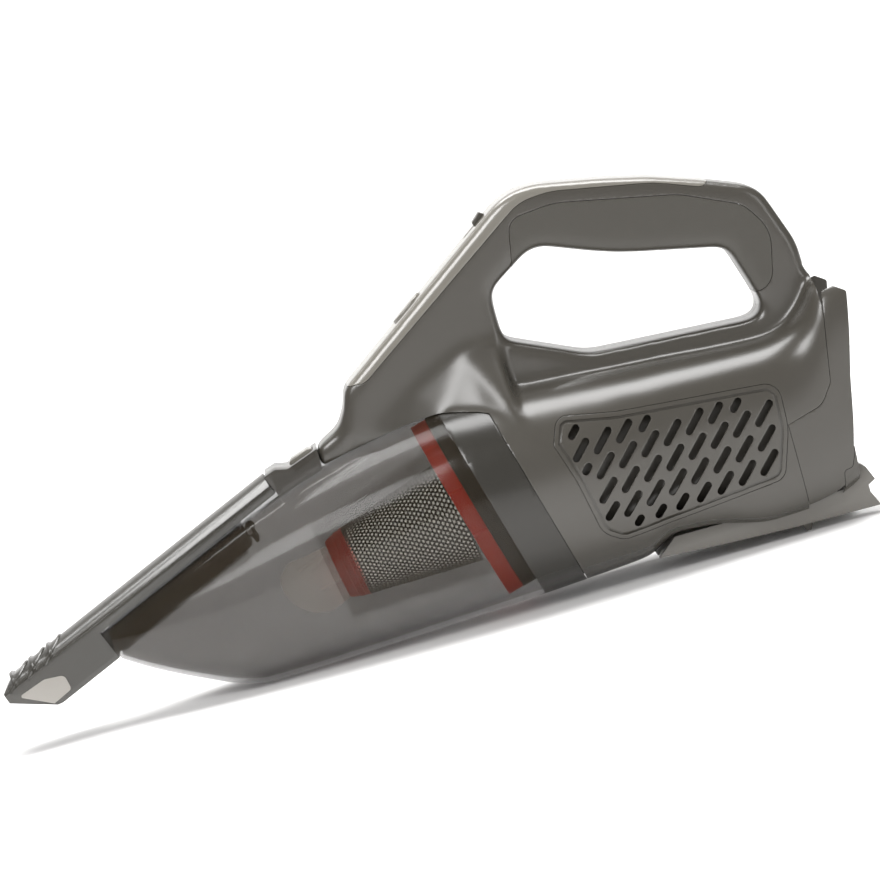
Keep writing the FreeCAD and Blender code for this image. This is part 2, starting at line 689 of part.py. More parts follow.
revolved("filter_carrier", RING,
         [(collar_front + 0.2, bore), (collar_front + 0.2, ring - 6), (collar_rear + 0.2, ring - 6),
          (collar_rear + 0.2, ring - 3.2), (seal_rear - 0.6, ring - 3.2),
          (seal_rear - 0.6, ring - 8), (collar_front + 4, ring - 10), (collar_front + 4, bore)])
revolved("filter_collar", RING,
         rectangle(collar_front, ring - 5.7, collar_rear, ring - 0.3))
revolved("filter_seal", RING,
         rectangle(collar_rear + 0.3, ring - 2.9, seal_rear, ring))


SEAT_REACH = 60.0
SEAT_LEAN = SEAT_REACH * math.tan(math.radians(mm("motor_tilt") - mm("cone_tilt")))


def cone_wall(name, length, rear, front, wall):
    """A tapered tube whose rear end is cut to sit flat on the tilted carrier."""
    length, rear, front, wall = size(length), size(rear), size(front), size(wall)
    behind = 5.0
    cone = revolved(name, CONE, [(behind, rear), (-length, front), (-length, front - wall),
                                 (behind, rear - wall)])
    return pocketed(cone, name + "_seat",
                    [(-SEAT_LEAN - 0.2, SEAT_REACH), (20, SEAT_REACH), (20, -SEAT_REACH),
                     (SEAT_LEAN - 0.2, -SEAT_REACH)], 3 * SEAT_REACH)


cone_wall("prefilter_shroud", "shroud_length", "shroud_rear_radius", "shroud_front_radius",
          "shroud_wall")
cone_wall("mesh_screen", "mesh_length", "mesh_rear_radius", "mesh_front_radius", "mesh_wall")
cap_front = -(size("mesh_length") + size("cap_length"))
cap_back = -size("mesh_length") - 0.2
revolved("prefilter_end_cap", CONE,
         [(cap_front, 0), (cap_front, size("mesh_front_radius") - 3),
          (cap_back, size("mesh_front_radius") + 0.6), (cap_back, 0)])


def pleated_filter():
    """A ring of folded paper, open at the rear."""
    count = 24
    outer, inner = PLEAT_OUTER.value, PLEAT_INNER.value
    ends = []
    for radii in ((outer, inner), (outer - 1.4, inner - 1.4)):
        points = []
        for index in range(2 * count):
            angle = math.pi * index / count
            radius = radii[index % 2]
            points.append(V(-mm("pleat_length"), radius * math.cos(angle), radius * math.sin(angle)))
        ends.append(Part.Face(Part.makePolygon(points + points[:1])))
    folds = ends[0].cut(ends[1]).extrude(V(mm("pleat_length") - 1.8, 0, 0))
    plate = Part.makeCylinder(outer, 1.5, V(-mm("pleat_length") - 1.5, 0, 0), V(1, 0, 0))
    return folds.fuse(plate)


feature("pleated_filter", pleated_filter(), CONE)
padded("flow_deflector", CONE,
       [(cap_front - 0.3, 13), (-77, 12.6), (-88, 13.5), (-95, 8), (-96, 0), (-93, -8), (-86, -15),
        (-78, -17.5), (cap_front - 0.3, -15)], 2.0)

# ---------------------------------------------------------------- motor and fan

spigot = SPIGOT_RADIUS
spigot_front = -size("spigot_length")
plate_wall = size("wall")
revolved("filter_bulkhead", MOTOR,
         [(spigot_front, spigot - 2.4), (spigot_front, spigot), (-7.1, spigot), (-7.1, spigot - 0.8),
          (-2.9, spigot - 0.8), (-2.9, spigot), (0.3, spigot), (0.3, spigot + 2.4),
          (plate_wall, spigot + 2.4), (plate_wall, size("bulkhead_bore")),
          (0, size("bulkhead_bore")), (0, spigot - 2.4)])

scroll_front, scroll_rear = size("scroll_front"), size("scroll_rear")
scroll, scroll_wall = size("scroll_radius"), size("scroll_wall")
shaft = size("shaft_radius")
revolved("fan_shroud", MOTOR,
         [(plate_wall + 0.2, size("bulkhead_bore")), (plate_wall + 0.2, scroll),
          (scroll_rear, scroll), (scroll_rear, scroll - 6), (scroll_rear - scroll_wall, scroll - 6),
          (scroll_rear - scroll_wall, scroll - scroll_wall),
          (scroll_front + scroll_wall, scroll - scroll_wall),
          (scroll_front + scroll_wall, size("bulkhead_bore"))])

FAN_BLADES = 9


def fan_impeller():
    """A backing disc with curved blades round a hub bored for the shaft."""
    front, width, radius = mm("fan_front"), mm("fan_width"), FAN_RADIUS.value
    rear = front + width
    disc = Part.makeCylinder(radius, 1.6, V(rear - 1.6, 0, 0), V(1, 0, 0))
    hub = Part.makeCylinder(6, width, V(front, 0, 0), V(1, 0, 0))
    fan = disc.fuse(hub)
    for index in range(FAN_BLADES):
        curve = [Part.makeCylinder(r, width - 2, V(front + 1, 22, 8), V(1, 0, 0)) for r in (23, 21.8)]
        blade = curve[0].cut(curve[1]).common(block(front, 3, -20, rear - 1, radius - 1.5, 8))
        blade.rotate(V(0, 0, 0), V(1, 0, 0), 360 * index / FAN_BLADES)
        fan = fan.fuse(blade.common(Part.makeCylinder(radius - 0.5, 60, V(0, 0, 0), V(1, 0, 0))))
    return fan.cut(Part.makeCylinder(mm("shaft_radius"), 80, V(0, 0, 0), V(1, 0, 0)))


feature("fan_impeller", fan_impeller(), MOTOR)

motor_front, motor_rear = size("motor_front"), size("motor_rear")
motor_radius = size("motor_radius")
bearing = size("bearing_radius")
revolved("motor_can", MOTOR,
         [(motor_front, shaft + 0.5), (motor_front, motor_radius), (motor_rear, motor_radius),
          (motor_rear, shaft + 0.5), (motor_rear - 1.5, shaft + 0.5),
          (motor_rear - 1.5, motor_radius - 1.5), (motor_front + 6, motor_radius - 1.5),
          (motor_front + 6, bearing), (motor_front + 1.5, bearing), (motor_front + 1.5, shaft + 0.5)])
revolved("motor_bearing", MOTOR,
         rectangle(motor_front + 1.6, shaft + 0.05, motor_front + 5.8, bearing - 0.02))
revolved("motor_shaft", MOTOR,
         [(size("fan_front") - 1, 0), (size("fan_front") - 1, shaft - 0.01),
          (motor_front + 7, shaft - 0.01), (motor_front + 7, "core_radius"),
          (motor_rear - 8, "core_radius"),
          (motor_rear - 8, shaft - 0.01), (motor_rear + 2, shaft - 0.01), (motor_rear + 2, 0)])
revolved("motor_magnets", MOTOR,
         rectangle(motor_front + 9, size("core_radius") + size("core_gap"), motor_rear - 10,
                   motor_radius - 1.6))
revolved("motor_mount", MOTOR,
         [(scroll_rear + 0.2, scroll), (motor_front - 0.2, scroll), (motor_front - 0.2, motor_radius + 2),
          (motor_front + 12, motor_radius + 2), (motor_front + 12, motor_radius + 0.2),
          (scroll_rear + 2.2, motor_radius + 0.2), (scroll_rear + 2.2, 6), (scroll_rear + 0.2, 6)])

# ---------------------------------------------------------------- control panel

slider_rear = size("slider_at") + size("slider_length") / 2
slider_front = size("slider_at") - size("slider_length") / 2
slider_top = size("slider_rise")
slider = padded("power_slider", PANEL,
                [(slider_front, 0.3), (slider_rear, 0.3), (slider_rear - 1, slider_top),
                 (slider_front + 1, slider_top - 0.8)], 2 * size("slider_half"))


def slider_stem(body):
    """The stem that reaches through the trim to the switch."""
    sketch = outline_sketch(body, "stem_outline",
                            rectangle(size("slider_at") - 1.5, -4.4, size("slider_at") + 1.5, 1.0))
    stem = body.newObject("PartDesign::Pad", "slider_stem")
    stem.Profile = sketch
    stem.Midplane = True
    stem.setExpression("Length", (2 * size("stem_half")).text)


slider_stem(slider)
led = doc.addObject("Part::Cylinder", "status_led")
led.Label = "status_led"
led.setExpression("Radius", size("led_radius").text)
led.Height = 5.0
led.Placement = PANEL.multiply(FreeCAD.Placement(V(mm("led_at"), 0, -4.7), FreeCAD.Rotation()))
NODES["status_led"] = led

feature("release_button", oval(mm("button_at"), mm("button_length"), mm("button_half"),
                               -mm("button_depth"), mm("button_rise")), PANEL)

# Rocker from under the button to the hook over the bowl's top, as offsets from its pin.
LATCH_ARMS = [(15, 11), (11, 13.2), (4.2, 6.3), (-4, 3.4), (-16, -21), (-19, -32.6),
              (-13.5, -32.6), (-9, -23), (2.5, -4.5), (7, 4)]


def release_latch():
    x, z, half = mm("latch_x"), mm("latch_z"), 6.0
    arms = side_prism([(x + u, z + v) for u, v in LATCH_ARMS], -half, half)
    hole = Part.makeCylinder(mm("latch_pin_radius") + mm("pin_fit"), 60, V(x, -30, z), V(0, 1, 0))
    return arms.cut(hole)


feature("release_latch", release_latch())
cross_pin("latch_pin", ROW, (mm("latch_x"), mm("latch_z")), "latch_pin_radius",
          2 * size("handle_half") - 2 * size("handle_wall") - 2 * size("fit_gap"))
switch_top = -size("handle_wall") - size("fit_gap")
padded("power_switch", PANEL, rectangle(96, switch_top - 6.5, 116, switch_top), 9.0)
padded("circuit_board", PANEL, rectangle(66, switch_top - 8.4, 116, switch_top - 6.8),
       2 * size("handle_half") - 2 * size("handle_wall") - 5)

# ---------------------------------------------------------------- battery interface

rail = padded("battery_rail", ROW, RAIL_SIDE, 2 * size("rail_half"))
pocketed(rail, "rail_channel", rectangle(118, 0, 230, "rail_roof"), 2 * size("rail_channel_half"))
pocketed(rail, "rail_tongue", rectangle(196.5, 12, 230, 40), 34)


def rail_grooves(body):
    """The two side grooves that the battery's lips run in."""
    half = size("rail_channel_half")
    points = [(half - 1, 8.2), (half + size("rail_groove"), 8.2),
              (half + size("rail_groove"), 11.4), (half - 1, 11.4)]
    for side, name in ((1, "groove_right"), (-1, "groove_left")):
        sketch = outline_sketch(body, name + "_outline", [(side * u if side > 0 else -size(u), v)
                                                          for u, v in points], "YZ_Plane")
        groove = body.newObject("PartDesign::Pocket", name)
        groove.Profile = sketch
        groove.Reversed = True
        groove.Length = 230


rail_grooves(rail)


def battery_catch():
    """A spring plate in the channel with two hooks that hold the battery."""
    half, spread = mm("catch_half"), CATCH_SPREAD.value
    plate = block(150, -spread + 2, mm("rail_roof") - 2.4, 181, spread - 2, mm("rail_roof") - 0.3)
    solid = plate
    for side in (-1, 1):
        y = side * (spread - 2 - half)
        hook = side_prism([(174, mm("rail_roof") - 1), (181, mm("rail_roof") - 1), (180, 2.6),
                           (178.6, 0), (176.4, 0), (175.4, 3)], y - half, y + half)
        solid = solid.fuse(hook)
    return solid


feature("battery_catch", battery_catch())
terminal = padded("terminal_block", ROW, rectangle(122, 4.8, 138, size("rail_roof") - 0.3), 24.0)


def battery_contacts():
    """Three blades that stand out of the terminal block towards the rear."""
    blades = [block(138.05, y - 0.4, 6.6, 146.5, y + 0.4, 11.0) for y in (-8, 0, 8)]
    return Part.makeCompound(blades)


feature("battery_contacts", battery_contacts())

doc.recompute()
for item in doc.Objects:
    if "Invalid" in item.State or "Error" in item.State:
        raise RuntimeError("%s did not recompute: %s" % (item.Label, item.State))
for name, item in NODES.items():
    shape = item.Shape
    if shape.isNull() or not shape.isValid():
        raise RuntimeError("%s has no valid shape" % name)
    print("%-20s %d solid(s) %9.0f mm3" % (name, len(shape.Solids), shape.Volume))

os.makedirs("parts", exist_ok=True)
for name, item in NODES.items():
    item.Shape.exportStep("parts/%s.step" % name)
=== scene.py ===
# Looks of the cordless handheld vacuum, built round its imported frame.  Lengths are
# millimetres in the row's own frame: +X to the rear, +Z up, -Y the left side.  They
# become metres as each mesh is finished.

import json
import math

import bmesh
import bpy
from mathutils import Matrix, Vector


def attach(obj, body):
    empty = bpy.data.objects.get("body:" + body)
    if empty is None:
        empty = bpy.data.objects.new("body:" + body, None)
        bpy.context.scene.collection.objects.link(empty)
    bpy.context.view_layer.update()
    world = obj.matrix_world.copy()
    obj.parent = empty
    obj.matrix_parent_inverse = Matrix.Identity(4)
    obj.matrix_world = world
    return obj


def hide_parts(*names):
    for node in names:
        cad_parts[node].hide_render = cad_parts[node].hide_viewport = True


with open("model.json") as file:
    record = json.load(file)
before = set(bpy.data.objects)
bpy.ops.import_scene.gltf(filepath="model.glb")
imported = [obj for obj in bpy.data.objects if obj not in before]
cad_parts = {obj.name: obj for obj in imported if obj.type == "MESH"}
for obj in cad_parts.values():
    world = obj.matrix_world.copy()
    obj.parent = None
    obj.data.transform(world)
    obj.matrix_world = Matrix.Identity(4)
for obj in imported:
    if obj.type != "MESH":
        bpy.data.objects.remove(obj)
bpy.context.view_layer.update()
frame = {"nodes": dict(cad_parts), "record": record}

MM = 0.001

# ------------------------------------------------------------------ driving sizes

JOINT_X, JOINT_Z, MOTOR_TILT = 54.0, 54.5, 14.75
NOSE_X, NOSE_Z, NOZZLE_TILT = -130.0, 65.0, 22.5
HANDLE_HALF = 17.4
WALL = 2.4
SEAM = 0.25


def tilted(x, z, degrees):
    """A frame at (x, 0, z) whose X axis rises to the rear by an angle."""
    return Matrix.Translation((x, 0, z)) @ Matrix.Rotation(-math.radians(degrees), 4, "Y")


MOTOR = tilted(JOINT_X, JOINT_Z, MOTOR_TILT)
NOZZLE = tilted(NOSE_X, NOSE_Z, NOZZLE_TILT)

# Side outlines: x, z, corner radius.
LOOP = [(-30, 104, 3), (-23, 129.8, 6), (82, 203.2, 36), (149.5, 189.6, 250),
        (199, 169.4, 17), (210, 138, 20), (211, 92, 3), (60, 88, 3)]
HAND_HOLE = [(59, 131.8, 4), (59, 156, 9), (85, 172.2, 14), (122, 157.2, 150),
             (176, 145, 7), (187.5, 107, 7), (98, 113.6, 25)]
PANEL_TILT = math.degrees(math.atan2(LOOP[2][1] - LOOP[1][1], LOOP[2][0] - LOOP[1][0]))
PANEL = tilted(LOOP[1][0], LOOP[1][1], PANEL_TILT)
GRIP_REGION = [(70, 152, 4), (77, 187.5, 8), (100, 189.5, 40), (160, 176.5, 40), (189, 163, 14),
               (199, 148, 20), (192, 118, 10), (180, 121, 3), (120, 146, 3)]
TRIM_REGION = [(-60, 116, 0), (-27, 131.2, 4), (-12, 130.5, 9), (84, 194.6, 24), (100, 195.6, 40),
               (150, 185.6, 80), (174, 176.2, 5), (180, 186, 0), (120, 230, 0), (40, 230, 0)]
VENT = [(67, 79, 3), (72, 91.5, 6), (100, 86, 60), (180, 77.5, 8), (179, 55, 30),
        (171, 31.5, 7), (88, 24.6, 8), (78.5, 31, 12), (73, 60, 40)]

# Sections of the belly from nose to tail: x, bottom, top, half width, and how square the
# upper and the lower half are.
SECTIONS = [(-166, 33.0, 49.8, 17.5, 3.2, 3.2), (-150, 22.6, 56.4, 22.0, 3.0, 3.0),
            (-130, 12.0, 64.7, 28.0, 2.8, 2.8), (-110, 3.2, 73.0, 33.5, 2.6, 2.6),
            (-97, 0.3, 78.4, 36.5, 2.5, 2.5), (-84, 0.2, 83.5, 39.0, 2.45, 2.45),
            (-50, 0.9, 95.2, 44.4, 2.35, 2.35), (0, 2.6, 107.0, 49.6, 2.3, 2.3),
            (30, 3.8, 110.6, 51.8, 2.3, 2.3), (52, 4.8, 110.6, 52.0, 2.3, 2.3),
            (70, 5.9, 109.0, 51.8, 2.35, 2.4), (90, 7.4, 107.2, 51.0, 2.45, 2.6),
            (99, 8.8, 106.2, 50.2, 2.5, 3.0), (114, 17.2, 104.6, 48.8, 2.6, 4.0),
            (130, 16.8, 103.4, 46.8, 2.7, 5.0), (150, 12.2, 101.5, 44.8, 2.8, 5.5),
            (160, 10.3, 100.6, 43.8, 2.9, 6.0), (180, 10.6, 99.5, 42.2, 3.0, 6.0),
            (192, 11.6, 102.0, 41.0, 3.2, 6.0), (203, 15.0, 110.0, 40.4, 3.8, 6.0),
            (212, 20.0, 119.5, 40.0, 5.0, 6.0), (230, 24.0, 121.5, 39.4, 5.0, 6.0)]


# ------------------------------------------------------------------ mesh helpers

def ease(points, x, column):
    """A smooth curve through the sections' values (monotone Hermite)."""
    xs = [point[0] for point in points]
    ys = [point[column] for point in points]
    if x <= xs[0]:
        return ys[0]
    if x >= xs[-1]:
        return ys[-1]
    index = max(i for i in range(len(xs) - 1) if xs[i] <= x)
    slopes = [(ys[i + 1] - ys[i]) / (xs[i + 1] - xs[i]) for i in range(len(xs) - 1)]

    def tangent(i):
        if i == 0:
            return slopes[0]
        if i == len(xs) - 1:
            return slopes[-1]
        before, after = slopes[i - 1], slopes[i]
        return 0.0 if before * after <= 0 else 2 * before * after / (before + after)

    width = xs[index + 1] - xs[index]
    t = (x - xs[index]) / width
    return ((2 * t ** 3 - 3 * t ** 2 + 1) * ys[index] + (t ** 3 - 2 * t ** 2 + t) * width * tangent(index)
            + (3 * t ** 2 - 2 * t ** 3) * ys[index + 1] + (t ** 3 - t ** 2) * width * tangent(index + 1))


def rounded(points):
    """A closed outline of (x, z) points with an arc of about 5 degree steps at each corner."""
    result = []
    count = len(points)
    for index, (x, z, radius) in enumerate(points):
        corner = Vector((x, z))
        if radius <= 0:
            result.append(corner)
            continue
        back = (Vector(points[index - 1][:2]) - corner).normalized()
        ahead = (Vector(points[(index + 1) % count][:2]) - corner).normalized()
        half = back.angle(ahead) / 2
        centre = corner + (back + ahead).normalized() * (radius / math.sin(half))
        start = corner + back * (radius / math.tan(half)) - centre
        sweep = math.pi - 2 * half
        turn = 1 if back.cross(ahead) < 0 else -1
        steps = max(2, round(math.degrees(sweep) / 5))
        for step in range(steps + 1):
            result.append(centre + Matrix.Rotation(turn * sweep * step / steps, 2) @ start)
    return result


def finish_mesh(bm, name, scale=MM):
    """A linked object from a bmesh in millimetres, with its normals pointing out."""
    bmesh.ops.remove_doubles(bm, verts=bm.verts, dist=1e-5)
    bmesh.ops.recalc_face_normals(bm, faces=bm.faces)
    bmesh.ops.scale(bm, vec=(scale, scale, scale), verts=bm.verts)
    mesh = bpy.data.meshes.new(name)
    bm.to_mesh(mesh)
    bm.free()
    item = bpy.data.objects.new(name, mesh)
    bpy.context.scene.collection.objects.link(item)
    return item


def loop_of(bm, points, y):
    verts = [bm.verts.new((point.x, y, point.y)) for point in points]
    return [bm.edges.new((verts[i - 1], verts[i])) for i in range(len(verts))]


def prism_bm(outlines, y_low, y_high):
    """Side outlines (the first the rim, the rest holes) extruded across the vacuum."""
    bm = bmesh.new()
    edges = []
    for points in outlines:
        edges += loop_of(bm, rounded(points), y_low)
    bmesh.ops.triangle_fill(bm, edges=edges, use_beauty=True, use_dissolve=False)
    made = bmesh.ops.extrude_face_region(bm, geom=list(bm.faces), use_keep_orig=True)
    moved = [item for item in made["geom"] if isinstance(item, bmesh.types.BMVert)]
    bmesh.ops.translate(bm, vec=(0, y_high - y_low, 0), verts=moved)
    return bm


def prism(name, outlines, y_low, y_high):
    return finish_mesh(prism_bm(outlines, y_low, y_high), name)


def section_ring(bm, x, inset=0.0, count=96):
    """One ring of the belly at x, drawn in by an inset."""
    low, high = ease(SECTIONS, x, 1) + inset, ease(SECTIONS, x, 2) - inset
    half = ease(SECTIONS, x, 3) - inset
    upper, lower = ease(SECTIONS, x, 4), ease(SECTIONS, x, 5)
    ring = bmesh.ops.create_circle(bm, cap_ends=False, segments=count, radius=1.0)["verts"]
    for vert in ring:
        across, up = vert.co.x, vert.co.y
        power = upper if up > 0 else lower
        y = math.copysign(abs(across) ** (2 / power), across) * half
        z = math.copysign(abs(up) ** (2 / power), up) * (high - low) / 2 + (high + low) / 2
        vert.co = (x, y, z)
    return ring


def belly_bm(x_from, x_to, inset=0.0, step=3.0, count=96, cap=True):
    """The smooth lower body between two stations."""
    bm = bmesh.new()
    total = max(2, round((x_to - x_from) / step))
    rings = [section_ring(bm, x_from + (x_to - x_from) * i / total, inset, count)
             for i in range(total + 1)]
    for before, after in zip(rings, rings[1:]):
        edges = {edge for vert in before + after for edge in vert.link_edges
                 if len(edge.link_faces) < 2 and all(v in before for v in edge.verts)
                 or all(v in after for v in edge.verts)}
        bmesh.ops.bridge_loops(bm, edges=list(edges))
    if cap:
        for ring in (rings[0], rings[-1]):
            bmesh.ops.contextual_create(bm, geom=ring)
    return bm


def applied(item):
    """Freezes an object's modifiers into its mesh."""
    graph = bpy.context.evaluated_depsgraph_get()
    mesh = bpy.data.meshes.new_from_object(item.evaluated_get(graph))
    item.modifiers.clear()
    old = item.data
    item.data = mesh
    bpy.data.meshes.remove(old)
    return item


def combine(item, tool, operation):
    """A boolean of two closed meshes, which uses up the tool."""
    cut = item.modifiers.new("combine", "BOOLEAN")
    cut.operation = operation
    cut.object = tool
    cut.solver = "MANIFOLD"
    applied(item)
    bpy.data.objects.remove(tool)
    return item


def duplicate(item, name):
    copy = bpy.data.objects.new(name, item.data.copy())
    bpy.context.scene.collection.objects.link(copy)
    return copy


def half_space(frame_matrix, offset, ahead):
    """A large box on one side of a plane square to a frame's X axis."""
    bm = bmesh.new()
    bmesh.ops.create_cube(bm, size=600)
    shift = offset + (-300 if ahead else 300)
    bmesh.ops.transform(bm, matrix=frame_matrix @ Matrix.Translation((shift, 0, 0)), verts=bm.verts)
    return finish_mesh(bm, "half_space")


# ------------------------------------------------------------------ housing blank

# Where the loop's foot flares out over the bowl: x, height and half width of the bead
# line, height and half width where it meets the bowl.
FLARE = [(-29, 110.5, 16.0, 98.0, 15.0), (-20, 111.0, 16.5, 98.0, 16.0), (0, 118.5, 17.2, 98.0, 20.0),
         (20, 125.5, 17.6, 98.0, 25.5), (38, 131.5, 18.4, 97.0, 33.0), (56, 132.0, 18.4, 94.0, 43.0)]


def flare(name):
    """The flared foot of the loop over the bowl's shoulders."""
    bm = bmesh.new()
    rings = []
    for x, bead, bead_half, foot, foot_half in FLARE:
        ring = bmesh.ops.create_circle(bm, cap_ends=False, segments=4, radius=1.0)["verts"]
        corners = [(bead_half, bead), (-bead_half, bead), (-foot_half, foot), (foot_half, foot)]
        for vert, (y, z) in zip(ring, corners):
            vert.co = (x, y, z)
        rings.append(ring)
    for before, after in zip(rings, rings[1:]):
        edges = {edge for vert in before + after for edge in vert.link_edges
                 if len(edge.link_faces) < 2 and (all(v in before for v in edge.verts)
                                                  or all(v in after for v in edge.verts))}
        bmesh.ops.bridge_loops(bm, edges=list(edges))
    for ring in (rings[0], rings[-1]):
        bmesh.ops.contextual_create(bm, geom=ring)
    return finish_mesh(bm, name)


def housing_blank():
    """Belly and handle loop melted together, before it is cut into its pieces."""
    belly = finish_mesh(belly_bm(20, 230), "belly")
    loop = prism("blank", [LOOP, HAND_HOLE], -HANDLE_HALF, HANDLE_HALF)
    pad = prism("pad", [[(-44, 96, 0), (-44, 105.5, 3), (-30, 112.5, 6), (-27, 119, 3), (-10, 119, 0),
                         (-10, 96, 0)]], -14.5, 14.5)
    combine(loop, pad, "UNION")
    combine(loop, belly, "UNION")
    combine(loop, flare("flare"), "UNION")
    melt = loop.modifiers.new("melt", "REMESH")
    melt.mode = "VOXEL"
    melt.voxel_size = 1.25 * MM
    applied(loop)
    bm = bmesh.new()
    bm.from_mesh(loop.data)
    for _ in range(34):
        bmesh.ops.smooth_vert(bm, verts=bm.verts, factor=0.5, use_axis_x=True, use_axis_y=True,
                              use_axis_z=True)
    bm.to_mesh(loop.data)
    bm.free()
    return loop



def shade(item, degrees=35):
    """Smooth shading with sharp edges past an angle."""
    item.data.shade_smooth()
    item.data.set_sharp_from_angle(angle=math.radians(degrees))
    return item


def soften(item, width, degrees=40, segments=2):
    """A small rounding on every edge sharper than an angle."""
    rounding = item.modifiers.new("rounding", "BEVEL")
    rounding.width = width * MM
    rounding.segments = segments
    rounding.limit_method = "ANGLE"
    rounding.angle_limit = math.radians(degrees)
    rounding.use_clamp_overlap = True
    rounding.miter_outer = "MITER_SHARP"
    return shade(applied(item), degrees)


def box_bm(low, high, frame_matrix=Matrix()):
    bm = bmesh.new()
    bmesh.ops.create_cube(bm, size=1)
    low, high = Vector(low), Vector(high)
    span = Matrix.Diagonal((*(high - low), 1))
    bmesh.ops.transform(bm, verts=bm.verts,
                        matrix=frame_matrix @ Matrix.Translation((low + high) / 2) @ span)
    return bm


def box(name, low, high, frame_matrix=Matrix()):
    return finish_mesh(box_bm(low, high, frame_matrix), name)


def turned(name, points, frame_matrix, steps=96, closed=True):
    """A piece spun round a frame's X axis from (along, radius) points."""
    bm = bmesh.new()
    verts = [bm.verts.new((along, 0, radius)) for along, radius in points]
    edges = [bm.edges.new((verts[i], verts[i + 1])) for i in range(len(verts) - 1)]
    if closed:
        edges.append(bm.edges.new((verts[-1], verts[0])))
    bmesh.ops.spin(bm, geom=verts + edges, cent=(0, 0, 0), axis=(1, 0, 0), angle=math.tau,
                   steps=steps, use_merge=True, use_duplicate=False)
    bmesh.ops.remove_doubles(bm, verts=bm.verts, dist=1e-4)
    bmesh.ops.transform(bm, matrix=frame_matrix, verts=bm.verts)
    return finish_mesh(bm, name)


def local_prism_bm(points, y_low, y_high, frame_matrix):
    bm = prism_bm([points], y_low, y_high)
    bmesh.ops.transform(bm, matrix=frame_matrix, verts=bm.verts)
    return bm


def local_prism(name, points, y_low, y_high, frame_matrix):
    return finish_mesh(local_prism_bm(points, y_low, y_high, frame_matrix), name)


# ------------------------------------------------------------------ materials

def group(name, inputs, outputs):
    """An empty shader node group with typed, named sockets."""
    tree = bpy.data.node_groups.new(name, "ShaderNodeTree")
    for label, kind, value in inputs:
        socket = tree.interface.new_socket(label, in_out="INPUT", socket_type=kind)
        socket.default_value = value
    for label, kind in outputs:
        tree.interface.new_socket(label, in_out="OUTPUT", socket_type=kind)
    return tree, tree.nodes.new("NodeGroupInput"), tree.nodes.new("NodeGroupOutput")


def node(tree, kind, links=(), **settings):
    """A node with its properties or input values set, and its inputs linked."""
    made = tree.nodes.new(kind)
    for key, value in settings.items():
        if hasattr(made, key):
            setattr(made, key, value)
        else:
            made.inputs[key.replace("_", " ")].default_value = value
    for key, source in dict(links).items():
        tree.links.new(source, made.inputs[key])
    return made


def moulding_group():
    """Fine mould grain: a bumped normal, a roughness and a tone that vary a little."""
    tree, given, result = group(
        "moulded_surface",
        [("Base", "NodeSocketColor", (0.1, 0.1, 0.1, 1)), ("Roughness", "NodeSocketFloat", 0.3),
         ("Grain Scale", "NodeSocketFloat", 2500.0), ("Grain Depth", "NodeSocketFloat", 0.1),
         ("Smudge", "NodeSocketFloat", 0.1), ("Tone", "NodeSocketFloat", 0.1)],
        [("Color", "NodeSocketColor"), ("Roughness", "NodeSocketFloat"),
         ("Normal", "NodeSocketVector")])
    place = node(tree, "ShaderNodeTexCoord").outputs["Object"]
    grain = node(tree, "ShaderNodeTexNoise", {"Vector": place, "Scale": given.outputs["Grain Scale"]},
                 Detail=2.0, Roughness=0.6)
    bump = node(tree, "ShaderNodeBump", {"Height": grain.outputs["Fac"],
                                         "Strength": given.outputs["Grain Depth"]}, Distance=0.0002)
    cloud = node(tree, "ShaderNodeTexNoise", {"Vector": place}, Scale=22.0, Detail=4.0, Roughness=0.55)
    fine = node(tree, "ShaderNodeTexNoise", {"Vector": place}, Scale=160.0, Detail=3.0, Roughness=0.6)
    both = node(tree, "ShaderNodeMath", {0: cloud.outputs["Fac"], 1: fine.outputs["Fac"]},
                operation="ADD")
    swing = node(tree, "ShaderNodeMath", {0: both.outputs[0]}, operation="SUBTRACT")
    swing.inputs[1].default_value = 1.0
    rough = node(tree, "ShaderNodeMath", {0: swing.outputs[0], 1: given.outputs["Smudge"],
                                          2: given.outputs["Roughness"]}, operation="MULTIPLY_ADD")
    tone = node(tree, "ShaderNodeMath", {0: swing.outputs[0], 1: given.outputs["Tone"]},
                operation="MULTIPLY_ADD")
    tone.inputs[2].default_value = 1.0
    shaded = node(tree, "ShaderNodeVectorMath", {0: given.outputs["Base"]}, operation="SCALE")
    tree.links.new(tone.outputs[0], shaded.inputs["Scale"])
    tree.links.new(shaded.outputs[0], result.inputs["Color"])
    tree.links.new(rough.outputs[0], result.inputs["Roughness"])
    tree.links.new(bump.outputs["Normal"], result.inputs["Normal"])
    return tree


MOULDING = moulding_group()


def plastic(name, colour, roughness, grain=(2500.0, 0.1), smudge=0.12, tone=0.12, **shader):
    """A moulded plastic or metal with grain, smudges and tone on shared nodes."""
    made = bpy.data.materials.new(name)
    made.use_nodes = True
    tree = made.node_tree
    principled = tree.nodes["Principled BSDF"]
    surface = tree.nodes.new("ShaderNodeGroup")
    surface.node_tree = MOULDING
    surface.inputs["Base"].default_value = (*colour, 1)
    surface.inputs["Roughness"].default_value = roughness
    surface.inputs["Grain Scale"].default_value = grain[0]
    surface.inputs["Grain Depth"].default_value = grain[1]
    surface.inputs["Smudge"].default_value = smudge
    surface.inputs["Tone"].default_value = tone
    tree.links.new(surface.outputs["Color"], principled.inputs["Base Color"])
    tree.links.new(surface.outputs["Roughness"], principled.inputs["Roughness"])
    tree.links.new(surface.outputs["Normal"], principled.inputs["Normal"])
    for key, value in shader.items():
        principled.inputs[key.replace("_", " ")].default_value = value
    return made


